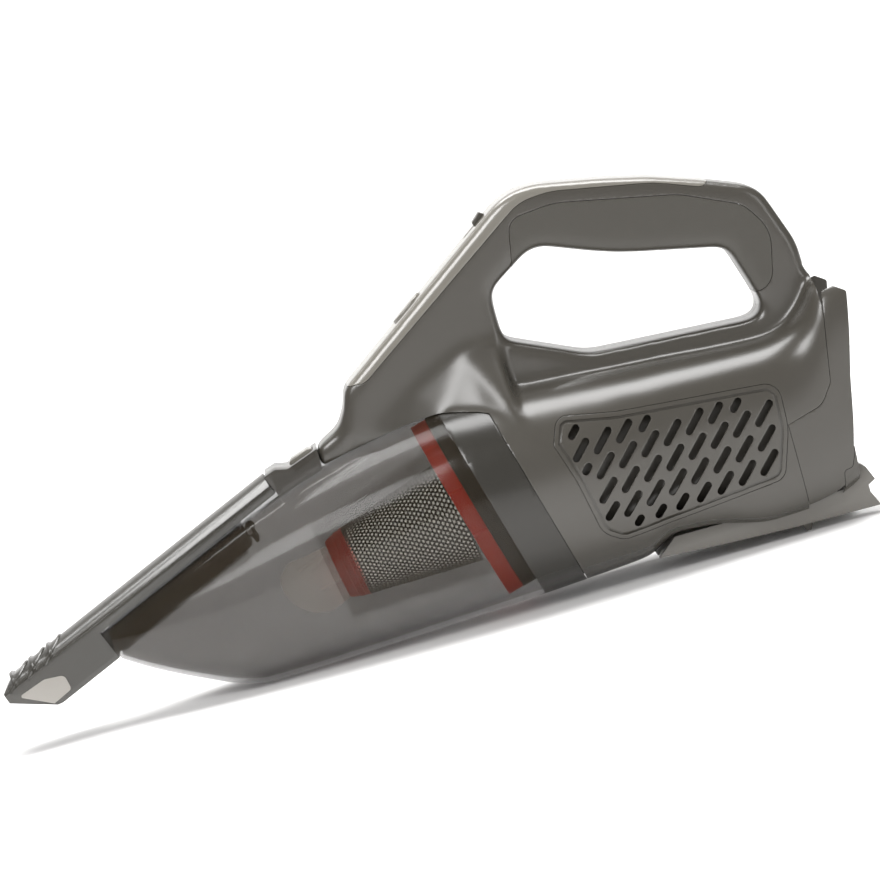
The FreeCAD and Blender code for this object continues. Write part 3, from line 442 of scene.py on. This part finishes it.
GREY = plastic("moulded_grey", (0.05, 0.0455, 0.038), 0.26, grain=(2500.0, 0.04), smudge=0.02, tone=0.03,
               Specular_IOR_Level=0.7)
TRIM = plastic("glossy_trim", (0.16, 0.15, 0.13), 0.18, smudge=0.05, tone=0.06,
               Specular_IOR_Level=0.8)
SOFT = plastic("soft_touch", (0.052, 0.048, 0.04), 0.36, grain=(1800.0, 0.25), smudge=0.06,
               tone=0.05)
SMOKE = plastic("smoke_clear", (0.026, 0.02, 0.013), 0.14, grain=(600.0, 0.02), Alpha=0.5,
                smudge=0.04, tone=0.05, Specular_IOR_Level=0.3)
SMOKE_DARK = plastic("smoke_dark", (0.015, 0.014, 0.012), 0.2, Alpha=0.16, smudge=0.04, tone=0.05)
STRIP_SMOKE = plastic("strip_smoke", (0.045, 0.041, 0.035), 0.18, grain=(600.0, 0.02), Alpha=0.9,
                      smudge=0.05, tone=0.05)
RIM = plastic("bowl_rim", (0.028, 0.026, 0.022), 0.22, smudge=0.05, tone=0.05)
NOZZLE_SMOKE = plastic("nozzle_smoke", (0.042, 0.039, 0.033), 0.2, grain=(600.0, 0.05), Alpha=0.88,
                       smudge=0.06, tone=0.06, Specular_IOR_Level=0.7)
# Frosted clear plastic with a painted glow: a faint warm emission lights the flow deflector from within,
# though it is no lamp.
CLEAR_PAINTED_GLOW = plastic("frosted_clear_painted_glow", (0.85, 0.81, 0.76), 0.35, Alpha=0.6, smudge=0.05, tone=0.05,
                Emission_Color=(1, 0.97, 0.93, 1), Emission_Strength=0.25)
WINDOW = plastic("nozzle_window", (0.4, 0.38, 0.35), 0.25, Alpha=0.75, smudge=0.05, tone=0.05)
# Red moulding with a painted glow: a red emission keeps the filter collar and end cap bright inside the
# smoke bowl, though they are no lamps.
RED_PAINTED_GLOW = plastic("red_moulding_painted_glow", (0.8, 0.035, 0.015), 0.35, smudge=0.05, tone=0.05,
              Emission_Color=(0.8, 0.035, 0.015, 1), Emission_Strength=0.25)
BLACK = plastic("black_moulding", (0.014, 0.014, 0.012), 0.35, smudge=0.06, tone=0.06)
RUBBER = plastic("black_rubber", (0.018, 0.018, 0.016), 0.6, grain=(1500.0, 0.25))
STEEL = plastic("turned_steel", (0.6, 0.59, 0.57), 0.3, Metallic=1.0)
SCREEN = plastic("screen_steel", (0.03, 0.028, 0.024), 0.4)
RAIL = plastic("pale_moulding", (0.13, 0.123, 0.11), 0.3, smudge=0.06, tone=0.06)
# Filter paper with a painted glow: a strong emission stands in for the light reaching the paper through
# the bowl, shroud and screen, so the screen's holes show bright.
PAPER_PAINTED_GLOW = plastic("filter_paper", (0.9, 0.88, 0.82), 0.9, grain=(900.0, 0.5), tone=0.05,
                Emission_Color=(1, 0.97, 0.9, 1), Emission_Strength=1.0)
IRON = plastic("ferrite", (0.06, 0.06, 0.065), 0.6)
BOARD = plastic("board_green", (0.02, 0.14, 0.06), 0.4)
BRASS = plastic("plated_brass", (0.75, 0.55, 0.25), 0.25, Metallic=1.0)
LENS = plastic("lamp_lens", (0.85, 0.85, 0.8), 0.3)

NODE_MATERIALS = {
    "grey_plastic": GREY, "trim_plastic": TRIM, "soft_touch": SOFT, "smoke_clear": SMOKE,
    "clear_plastic": CLEAR_PAINTED_GLOW, "red_plastic": RED_PAINTED_GLOW, "black_plastic": BLACK, "rubber": RUBBER,
    "steel": STEEL, "steel_mesh": SCREEN, "light_plastic": RAIL, "filter_paper": PAPER_PAINTED_GLOW,
    "iron": IRON, "board": BOARD, "brass": BRASS, "led_lens": LENS}


def dress(item, material):
    item.data.materials.clear()
    item.data.materials.append(material)


for entry in frame["record"]["subparts"]:
    dress(frame["nodes"][entry["node"]], NODE_MATERIALS[entry["material_slot"]])
dress(frame["nodes"]["prefilter_shroud"], SMOKE_DARK)


def piece(item, material, body, slot, *nodes):
    """Dresses a finished piece and says what it rides on and stands for."""
    dress(item, material)
    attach(item, body)
    if nodes:
        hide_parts(*nodes)
    return item


# ------------------------------------------------------------------ housing pieces

blank = housing_blank()


def grown(points, amount):
    """An outline moved outwards by an amount (inwards by a negative one)."""
    flat = rounded(points)
    area = sum(a.cross(b) for a, b in zip(flat, flat[1:] + flat[:1])) / 2
    sign = 1 if area > 0 else -1
    moved = []
    for index, point in enumerate(flat):
        ahead = flat[(index + 1) % len(flat)] - flat[index - 1]
        normal = Vector((ahead.y, -ahead.x)).normalized() * sign
        moved.append((*(point + normal * amount), 0))
    return moved


REAR_OUTLINE = [(179.5, 10.4, 0), (190.5, 11, 2), (195.5, 12.5, 2), (198.5, 17, 2), (200, 26.5, 2),
                (204.5, 27, 2), (206.5, 32, 4), (211, 50, 20), (215, 70, 60), (220, 90, 60),
                (224.5, 110.5, 1.5), (214, 118, 1.5), (211, 104, 60), (208, 88, 60), (205, 70, 8),
                (198, 60.5, 10), (179.5, 56, 0)]
BAY_HALF = 34.0
RAIL_HALF = 30.0
SLOT_LENGTH, SLOT_PITCH, SLOT_SPACING, SLOT_BORDER = 14.6, 19.6, 7.0, 5.6
SLOT_HALF = 1.85


def ahead_of_joint(name, offset, inset):
    """The room that the bowl takes ahead of the joint."""
    room = finish_mesh(belly_bm(-80, 75, inset), name)
    return combine(room, half_space(MOTOR, offset, True), "INTERSECT")


def control_room():
    """The hollow behind the control panel, with the wells of the button and the slider."""
    room = box("room", (20, -14.8, -21), (112, 14.8, -2.6), PANEL)
    upright = PANEL @ Matrix.Rotation(math.radians(90), 4, "X")
    for start, end, half in ((40.4, 60.0, 6.8), (94, 110, 2.1)):
        corner = half - 0.05
        well = local_prism("well", [(start, -half, corner), (end, -half, corner),
                                    (end, half, corner), (start, half, corner)], -12, 10, upright)
        combine(room, well, "UNION")
    return room


def housing_shell():
    """The blank without the bowl's room, the let-in pieces and the hollow."""
    shell = duplicate(blank, "shell")
    combine(shell, ahead_of_joint("tool", -0.1, -0.5), "DIFFERENCE")
    hollow = finish_mesh(belly_bm(40, 226, 2 * WALL), "hollow")
    combine(hollow, half_space(MOTOR, -4, False), "INTERSECT")
    combine(shell, hollow, "DIFFERENCE")
    combine(shell, control_room(), "DIFFERENCE")
    for region in (TRIM_REGION, GRIP_REGION):
        combine(shell, prism("tool", [grown(region, SEAM)], -60, 60), "DIFFERENCE")
    for side in (-1, 1):
        low, high = sorted((side * 20, side * 90))
        combine(shell, prism("tool", [grown(VENT, SEAM)], low, high), "DIFFERENCE")
    combine(shell, prism("tool", [grown(REAR_OUTLINE, SEAM)], -90, 90), "DIFFERENCE")
    combine(shell, prism("tool", [[(206, -10, 0), (250, -10, 0), (250, 140, 0), (212, 140, 0),
                                   (209.5, 126, 3), (211.5, 121, 0)]], -90, 90), "DIFFERENCE")
    combine(shell, prism("tool", [[(100.5, -5, 0), (100.5, 8.3, 0), (111.5, 17.6, 0), (240, 17.6, 0),
                                   (240, -5, 0)]], -RAIL_HALF - 0.3, RAIL_HALF + 0.3), "DIFFERENCE")
    return shell


def housing_halves():
    shell = housing_shell()
    for name, side in (("left", -1), ("right", 1)):
        half = duplicate(shell, "housing_shell_" + name)
        low, high = sorted((side * 0.12, side * 90))
        combine(half, box("tool", (-80, low, -10), (260, high, 230)), "INTERSECT")
        piece(soften(half, 0.35), GREY, "housing", "grey_plastic", "housing_" + name)
    bpy.data.objects.remove(shell)


housing_halves()


def joint_lip():
    """A thin lip inside the bowl's rim, which closes the joint to light."""
    lip = finish_mesh(belly_bm(20, 90, WALL + 0.4), "joint_lip")
    combine(lip, finish_mesh(belly_bm(10, 100, WALL + 1.8), "tool"), "DIFFERENCE")
    combine(lip, half_space(MOTOR, 5, True), "INTERSECT")
    combine(lip, half_space(MOTOR, -4, False), "INTERSECT")
    piece(shade(lip), RIM, "housing", "grey_plastic")


joint_lip()


def cut_from_blank(name, region, material, slot, cad_node, rounding):
    item = duplicate(blank, name)
    combine(item, prism("tool", [region], -60, 60), "INTERSECT")
    if region is TRIM_REGION:
        combine(item, control_room(), "DIFFERENCE")
    return piece(soften(item, rounding), material, "housing", slot, cad_node)


cut_from_blank("spine_strip", TRIM_REGION, TRIM, "trim_plastic", "spine_trim", 0.5)
cut_from_blank("grip_overmould", GRIP_REGION, SOFT, "soft_touch", "soft_grip", 0.5)


def inside(point, outline):
    """Whether a point lies in a closed outline."""
    crossings = 0
    for one, two in zip(outline, outline[1:] + outline[:1]):
        if (one[1] > point.y) != (two[1] > point.y):
            if point.x < one[0] + (point.y - one[1]) * (two[0] - one[0]) / (two[1] - one[1]):
                crossings += 1
    return crossings % 2 == 1


def slot_outline(one, two):
    """A slot with round ends between two points, up to the rear at 45 degrees."""
    points = []
    for centre, start in ((two, -45), (one, 135)):
        for step in range(7):
            angle = math.radians(start + 30 * step)
            points.append((centre.x + SLOT_HALF * math.cos(angle),
                           centre.y + SLOT_HALF * math.sin(angle), 0))
    return points


def slots():
    """Slots in staggered rows, shortened where they come to the panel's border."""
    border = grown(VENT, -SLOT_BORDER)
    along, across = Vector((1, 1)).normalized(), Vector((1, -1)).normalized()
    found = []
    for column in range(-12, 13):
        for row in range(-4, 5):
            centre = Vector((122, 57)) + across * SLOT_SPACING * column
            centre += along * SLOT_PITCH * (row + column % 2 / 2)
            reach = SLOT_LENGTH / 2 - SLOT_HALF
            stops = [centre + along * reach * (step / 10 - 1) for step in range(21)]
            stops = [stop for stop in stops if inside(stop, border)]
            if len(stops) > 3:
                found.append(slot_outline(stops[0], stops[-1]))
    return found


def slot_tool(low, high):
    """All the slots as one cutting tool."""
    bm = bmesh.new()
    for outline in slots():
        edges = loop_of(bm, rounded(outline), low)
        bmesh.ops.triangle_fill(bm, edges=edges, use_beauty=True, use_dissolve=False)
    made = bmesh.ops.extrude_face_region(bm, geom=list(bm.faces), use_keep_orig=True)
    moved = [item for item in made["geom"] if isinstance(item, bmesh.types.BMVert)]
    bmesh.ops.translate(bm, vec=(0, high - low, 0), verts=moved)
    return finish_mesh(bm, "slots")


def vent_panels():
    """The slotted panels let into both sides, each with a groove round it and a baffle behind."""
    for name, side in (("left", -1), ("right", 1)):
        low, high = sorted((side * 24, side * 90))
        panel = duplicate(blank, "vent_panel_" + name)
        combine(panel, prism("tool", [VENT], low, high), "INTERSECT")
        combine(panel, finish_mesh(belly_bm(40, 226, WALL + 0.4), "tool"), "DIFFERENCE")
        groove = prism("groove", [grown(VENT, -2.0), grown(VENT, -3.3)], low, high)
        core = finish_mesh(belly_bm(40, 226, 0.9), "core")
        combine(groove, core, "DIFFERENCE")
        combine(panel, groove, "DIFFERENCE")
        combine(panel, slot_tool(low, high), "DIFFERENCE")
        piece(soften(panel, 0.55, 50), GREY, "housing", "grey_plastic", "vent_cover_" + name)
        screen = finish_mesh(belly_bm(60, 186, 9.0), "vent_baffle_" + name)
        combine(screen, finish_mesh(belly_bm(50, 196, 10.2), "tool"), "DIFFERENCE")
        combine(screen, prism("tool", [grown(VENT, 3.0)], *sorted((side * 15, side * 90))),
                "INTERSECT")
        piece(shade(screen), GREY, "housing", "grey_plastic")


vent_panels()


def rear_cover():
    """The flush cover round the battery tower, with a wing at each side."""
    cover = duplicate(blank, "rear_cover_shell")
    combine(cover, prism("tool", [REAR_OUTLINE], -90, 90), "INTERSECT")
    combine(cover, box("tool", (208, -BAY_HALF, -5), (240, BAY_HALF, 140)), "DIFFERENCE")
    combine(cover, box("tool", (150, -BAY_HALF - 2, -5), (205.6, BAY_HALF + 2, 60)), "DIFFERENCE")
    combine(cover, box("tool", (100, -RAIL_HALF - 0.3, -5), (240, RAIL_HALF + 0.3, 26.6)),
            "DIFFERENCE")
    piece(soften(cover, 0.6), GREY, "housing", "grey_plastic", "rear_cover")


rear_cover()
bpy.data.objects.remove(blank)

# ------------------------------------------------------------------ pieces reworked from the solids

NOZZLE_HALF = 15.5
TUBE_HALF = 13.5
TUBE_LOW, TUBE_HIGH = -13.0, -1.6
SLIDE_GAP = 0.3
HEAD_END = -44.0
TUBE_END = 41.5


def reworked(node_name, material, body, slot, width=0.4, degrees=35):
    """A copy of a plain solid with merged corners and rounded edges."""
    item = duplicate(frame["nodes"][node_name], node_name + "_finished")
    bm = bmesh.new()
    bm.from_mesh(item.data)
    bmesh.ops.remove_doubles(bm, verts=bm.verts, dist=1e-6)
    bmesh.ops.dissolve_limit(bm, angle_limit=math.radians(0.5), verts=bm.verts, edges=bm.edges)
    bmesh.ops.recalc_face_normals(bm, faces=bm.faces)
    bm.to_mesh(item.data)
    bm.free()
    return piece(soften(item, width, degrees), material, body, slot, node_name)


reworked("battery_rail", RAIL, "housing", "light_plastic", 0.5)
reworked("battery_catch", RAIL, "housing", "light_plastic", 0.4)
reworked("release_button", TRIM, "button", "trim_plastic", 0.6)
reworked("power_slider", GREY, "slider", "grey_plastic", 0.4)
reworked("crevice_nozzle", NOZZLE_SMOKE, "nozzle", "smoke_clear", 0.5)


def nozzle_ribs():
    """Three raised ribs that bow back over the nozzle's crown."""
    half, top, edge = 15.3, 10.3, 4.8
    rise = top - edge
    crown = (half * half + rise * rise) / (2 * rise)
    for number, (at_edge, at_crown) in enumerate(((-97, -83), (-86, -72.5), (-75, -62)), start=1):
        curve = bpy.data.curves.new("rib", "CURVE")
        curve.dimensions = "3D"
        curve.bevel_depth = 1.15 * MM
        curve.bevel_resolution = 3
        curve.use_fill_caps = True
        spline = curve.splines.new("POLY")
        spline.points.add(24)
        for index, point in enumerate(spline.points):
            across = half * (index / 12 - 1)
            height = top - crown + math.sqrt(crown * crown - across * across) - 0.35
            along = at_crown + (at_edge - at_crown) * abs(across / half) ** 2.2
            point.co = (*((NOZZLE @ Vector((along, across, height))) * MM), 1)
        source = bpy.data.objects.new("rib", curve)
        bpy.context.scene.collection.objects.link(source)
        graph = bpy.context.evaluated_depsgraph_get()
        mesh = bpy.data.meshes.new_from_object(source.evaluated_get(graph))
        bpy.data.objects.remove(source)
        rib = bpy.data.objects.new("nozzle_rib_%d" % number, mesh)
        bpy.context.scene.collection.objects.link(rib)
        piece(shade(rib), NOZZLE_SMOKE, "nozzle", "smoke_clear", "crevice_nozzle")


nozzle_ribs()


def nozzle_windows():
    """A clearer patch let into each side of the nozzle's mouth."""
    outline = [(-95, 0.5, 1), (-79.5, -0.5, 3), (-70.5, -5, 3), (-72, -12.6, 2), (-83, -13, 1)]
    for name, side in (("left", -1), ("right", 1)):
        low, high = sorted((side * (NOZZLE_HALF - 0.3), side * (NOZZLE_HALF + 0.25)))
        window = local_prism("nozzle_window_" + name, outline, low, high, NOZZLE)
        piece(soften(window, 0.2), WINDOW, "nozzle", "smoke_clear", "crevice_nozzle")


nozzle_windows()
reworked("nozzle_latch_button", TRIM, "nozzle_latch", "trim_plastic", 0.4)
reworked("terminal_block", BLACK, "housing", "black_plastic", 0.4)

# ------------------------------------------------------------------ dust bowl

SPINE = [(54, -20, 0), (54, -2, 0), (66.6, -2, 0), (66.6, 9.8, 1), (73, 9.4, 1.5), (78, 5.8, 2),
         (106, 4.0, 1), (106, -20, 0)]
RIM_LENGTH = 21.5


def latch_room():
    """The room in the strip for the nozzle's latch button."""
    return box("latch_room", (79.6, -6.4, 1.0), (93.4, 6.4, 30), NOZZLE)


def dust_bowl():
    """The smoke bowl: a shell with the nozzle's sleeve in its nose, a strip and a dark rim."""
    shell = finish_mesh(belly_bm(-166, 75, 0.0, 2.5, 128), "dust_bowl_shell")
    combine(shell, half_space(MOTOR, -0.4, True), "INTERSECT")
    inner = finish_mesh(belly_bm(-163, 90, WALL, 2.5, 128), "inner")
    combine(shell, inner, "DIFFERENCE")
    wall = 1.6
    sleeve = box("sleeve", (HEAD_END + 0.5, -TUBE_HALF - wall, TUBE_LOW - wall),
                 (TUBE_END - 4, TUBE_HALF + wall, -0.3), NOZZLE)
    outer = finish_mesh(belly_bm(-166, 75, 0.05, 2.5, 128), "outer")
    combine(sleeve, outer, "INTERSECT")
    combine(shell, sleeve, "UNION")
    combine(shell, box("bore", (HEAD_END - 20, -TUBE_HALF - SLIDE_GAP, TUBE_LOW - SLIDE_GAP),
                       (TUBE_END + 0.5, TUBE_HALF + SLIDE_GAP, TUBE_HIGH + SLIDE_GAP), NOZZLE),
            "DIFFERENCE")
    combine(shell, box("front", (HEAD_END - 60, -60, -60), (HEAD_END + 0.5, 60, 60), NOZZLE),
            "DIFFERENCE")
    combine(shell, latch_room(), "DIFFERENCE")
    strip = soften(local_prism("dust_bowl_strip", SPINE, -NOZZLE_HALF, NOZZLE_HALF, NOZZLE), 0.8)
    combine(strip, finish_mesh(belly_bm(-166, 75, 0.0, 2.5, 128), "tool"), "DIFFERENCE")
    combine(strip, latch_room(), "DIFFERENCE")
    combine(strip, box("tool", (-43.6, -30, 80), (0, 30, 130)), "DIFFERENCE")
    piece(shade(strip), STRIP_SMOKE, "bowl", "smoke_clear", "dust_bowl")
    rim = duplicate(shell, "dust_bowl_rim")
    combine(rim, half_space(MOTOR, -RIM_LENGTH, False), "INTERSECT")
    combine(shell, half_space(MOTOR, -RIM_LENGTH, True), "INTERSECT")
    piece(soften(shell, 0.3, 45), SMOKE, "bowl", "smoke_clear", "dust_bowl")
    piece(soften(rim, 0.3, 45), RIM, "bowl", "smoke_clear", "dust_bowl")


dust_bowl()

# ------------------------------------------------------------------ filter

RING = MOTOR @ Matrix.Translation((0, 0, 10))
RING_RADIUS = 48.0
COLLAR_FRONT, COLLAR_REAR = -37.0, -29.2
CONE_BASE = RING @ Vector((COLLAR_FRONT, 0, 0))
CONE = tilted(CONE_BASE.x, CONE_BASE.z, 9.5)
MESH_LENGTH, MESH_REAR, MESH_FRONT = 57.0, 27.0, 18.0


def filter_collar():
    """The red ring that spans the bowl, with three notches on each side."""
    collar = turned("collar_segments", [(COLLAR_FRONT, RING_RADIUS - 5.7),
                                        (COLLAR_FRONT, RING_RADIUS - 0.3),
                                        (COLLAR_REAR, RING_RADIUS - 0.3),
                                        (COLLAR_REAR, RING_RADIUS - 5.7)], RING)
    for degrees, width in ((52, 9.0), (17, 3.6), (-7, 5.0)):
        for side in (-1, 1):
            turn = Matrix.Rotation(math.radians(side * (90 - degrees)), 4, "X")
            combine(collar, box("notch", (COLLAR_FRONT - 1, -width / 2, RING_RADIUS - 4.6),
                                (COLLAR_REAR + 1, width / 2, RING_RADIUS + 2), RING @ turn),
                    "DIFFERENCE")
    piece(soften(collar, 0.4), RED_PAINTED_GLOW, "filter", "red_plastic", "filter_collar")


filter_collar()


def mesh_screen():
    """A thin cone with a honeycomb of holes."""
    around, pitch = 56, 2.05
    rise = pitch * math.sqrt(3) / 2
    rows = round(MESH_LENGTH / (1.5 * pitch / math.sqrt(3)))
    bm = bmesh.new()
    side = pitch / math.sqrt(3)
    grid = {}

    def corner(u, v):
        key = (round(u * 200) % round(around * pitch * 200), round(v * 200))
        if key not in grid:
            share = v / MESH_LENGTH
            radius = MESH_REAR + (MESH_FRONT - MESH_REAR) * share - 0.3
            angle = math.tau * u / (around * pitch)
            grid[key] = bm.verts.new((-v, radius * math.sin(angle), radius * math.cos(angle)))
        return grid[key]

    for row in range(rows):
        v = side + row * 1.5 * side
        for column in range(around):
            u = (column + (row % 2) / 2) * pitch
            ring = [corner(u + side * math.sin(math.radians(60 * k)),
                           v + side * math.cos(math.radians(60 * k))) for k in range(6)]
            middle = sum((vert.co for vert in ring), Vector()) / 6
            hole = [bm.verts.new(middle.lerp(vert.co, 0.6)) for vert in ring]
            for k in range(6):
                bm.faces.new((ring[k - 1], ring[k], hole[k], hole[k - 1]))
    bmesh.ops.transform(bm, matrix=CONE, verts=bm.verts)
    screen = finish_mesh(bm, "perforated_screen")
    sheet = screen.modifiers.new("sheet", "SOLIDIFY")
    sheet.thickness = 0.5 * MM
    sheet.offset = 0
    applied(screen)
    piece(shade(screen, 30), SCREEN, "filter", "steel_mesh", "mesh_screen")


mesh_screen()


def paper_filter():
    """Folded paper that stands just inside the screen."""
    folds = 48
    bm = bmesh.new()
    rings = []
    for along, radius in ((-1.0, MESH_REAR - 0.9), (1.0 - MESH_LENGTH, MESH_FRONT - 0.9)):
        ring = bmesh.ops.create_circle(bm, cap_ends=False, segments=2 * folds, radius=1.0)["verts"]
        for index, vert in enumerate(ring):
            depth = radius - (1.4 if index % 2 else 0.0)
            vert.co = (along, vert.co.x * depth, vert.co.y * depth)
        rings.append(ring)
    edges = [edge for edge in bm.edges]
    bmesh.ops.bridge_loops(bm, edges=edges)
    bmesh.ops.transform(bm, matrix=CONE, verts=bm.verts)
    folded = finish_mesh(bm, "folded_paper")
    sheet = folded.modifiers.new("sheet", "SOLIDIFY")
    sheet.thickness = 0.4 * MM
    sheet.offset = -1
    applied(folded)
    piece(shade(folded, 20), PAPER_PAINTED_GLOW, "filter", "filter_paper", "pleated_filter")


paper_filter()


def end_cap():
    """The red cap on the front of the screen, with ribs and a rounded rim."""
    front, back = -(MESH_LENGTH + 10), -MESH_LENGTH - 0.2
    cap = turned("end_cap", [(front, 0), (front, 7), (front + 1.6, 7.6), (front + 1.6, 12.6),
                             (front, 13.2), (front, 15), (front + 4, 16.6), (front + 4.6, 16.2),
                             (front + 5.2, 17.0), (front + 7.2, 17.6), (front + 7.8, 17.2),
                             (back, 18.4), (back, 0)], CONE, closed=False)
    piece(soften(cap, 0.3), RED_PAINTED_GLOW, "filter", "red_plastic", "prefilter_end_cap")


end_cap()


def rod(name, start, end, radius):
    """A thin round bar between two points in millimetres."""
    start, end = Vector(start), Vector(end)
    bm = bmesh.new()
    bmesh.ops.create_cone(bm, cap_ends=True, segments=20, radius1=radius, radius2=radius,
                          depth=(end - start).length)
    turn = (end - start).to_track_quat("Z", "Y").to_matrix().to_4x4()
    bmesh.ops.transform(bm, matrix=Matrix.Translation((start + end) / 2) @ turn, verts=bm.verts)
    return finish_mesh(bm, name)


def deflector():
    """The clear baffle ahead of the filter, with the two thin bars that carry it."""
    outline = [(-67.3, 13, 0), (-77, 12.6, 4), (-88, 13.5, 5), (-95, 8, 6), (-96, 0, 12),
               (-93, -8, 8), (-86, -15, 8), (-78, -17.5, 6), (-67.3, -15, 0)]
    plate = local_prism("baffle_plate", outline, -1, 1, CONE)
    wedge = local_prism("wedge", [(-67.3, 11, 0), (-79, 4.5, 0), (-67.3, 1.0, 0)], -5, 5, CONE)
    combine(plate, wedge, "UNION")
    piece(soften(plate, 0.5), CLEAR_PAINTED_GLOW, "filter", "clear_plastic", "flow_deflector")
    for name, low, high in (("upper", (-69.5, -3.5, 49), (-53.5, -3.5, 54.0)),
                            ("lower", (-61, -3.5, 36.5), (-50, -3.5, 38.5))):
        bar = rod("baffle_bar_" + name, low, high, 1.0)
        piece(shade(bar), CLEAR_PAINTED_GLOW, "filter", "clear_plastic", "flow_deflector")


deflector()

# ------------------------------------------------------------------ camera and light

CAMERA_ROLL = 15.96
VIEW_SPAN = 431.5


def set_camera():
    """A long lens, a little above and a little to the nose, with the vacuum's tail raised."""
    tilt = math.radians(CAMERA_ROLL)
    up = Vector((math.sin(tilt), 0, math.cos(tilt)))
    right = Vector((math.cos(tilt), 0, -math.sin(tilt)))
    side, rise = math.radians(-2.75), math.radians(6.2)
    away = (Vector((0, -1, 0)) + up * math.tan(rise) + right * math.tan(side)).normalized()
    distance = 2200.0
    target = Vector((15.6, -10, 92.5))
    camera = bpy.data.objects.new("camera", bpy.data.cameras.new("camera"))
    bpy.context.scene.collection.objects.link(camera)
    back = away
    across = up.cross(back).normalized()
    over = back.cross(across)
    turn = Matrix((across, over, back)).transposed().to_4x4()
    camera.matrix_world = Matrix.Translation((target + away * distance) * MM) @ turn
    camera.data.sensor_width = 36
    camera.data.lens = 36 * distance / VIEW_SPAN
    camera.data.clip_end = 50
    bpy.context.scene.camera = camera


def area_light(name, place, target, size_m, watts, mirrored=True):
    light = bpy.data.objects.new(name, bpy.data.lights.new(name, "AREA"))
    light.data.shape = "RECTANGLE"
    light.data.size, light.data.size_y = size_m
    light.data.energy = watts
    light.location = place
    light.rotation_euler = (Vector(target) - Vector(place)).to_track_quat("-Z", "Y").to_euler()
    light.visible_glossy = mirrored
    bpy.context.scene.collection.objects.link(light)


def set_studio():
    """A pale sheet that runs under the vacuum and curves up behind it."""
    world = bpy.data.worlds.new("studio")
    world.use_nodes = True
    background = world.node_tree.nodes["Background"]
    background.inputs["Color"].default_value = (1, 0.99, 0.98, 1)
    background.inputs["Strength"].default_value = 0.25
    bpy.context.scene.world = world
    bpy.context.scene.view_settings.view_transform = "Standard"
    bm = bmesh.new()
    profile = [bm.verts.new((0, -6, 0)), bm.verts.new((0, 3.2, 0))]
    for step in range(1, 13):
        angle = math.radians(7.5 * step)
        profile.append(bm.verts.new((0, 3.2 + 1.2 * math.sin(angle), 1.2 - 1.2 * math.cos(angle))))
    profile.append(bm.verts.new((0, 4.4, 6)))
    edges = [bm.edges.new(pair) for pair in zip(profile, profile[1:])]
    swept = bmesh.ops.extrude_edge_only(bm, edges=edges)
    moved = [item for item in swept["geom"] if isinstance(item, bmesh.types.BMVert)]
    bmesh.ops.translate(bm, vec=(12, 0, 0), verts=moved)
    bmesh.ops.translate(bm, vec=(-6, 0, 0), verts=bm.verts)
    floor = finish_mesh(bm, "backdrop", 1.0)
    floor.data.shade_smooth()
    dress(floor, plastic("studio_sheet", (0.95, 0.945, 0.94), 0.85, smudge=0.0, tone=0.01))
    area_light("key", (-0.75, -1.3, 1.2), (0, 0, 0.1), (0.8, 0.6), 16)
    area_light("side", (1.2, -1.3, 0.5), (0.1, 0, 0.1), (0.25, 0.9), 3)
    area_light("overhead", (0.1, 0.1, 1.2), (0.05, 0, 0.1), (1.2, 0.6), 22)
    area_light("front_fill", (0, -2.2, 0.5), (0, 0, 0.1), (1.6, 1.0), 14, False)
    area_light("backdrop_wash", (0, 1.6, 2.6), (0, 3.9, 0.4), (4.0, 1.0), 130)


set_camera()
set_studio()
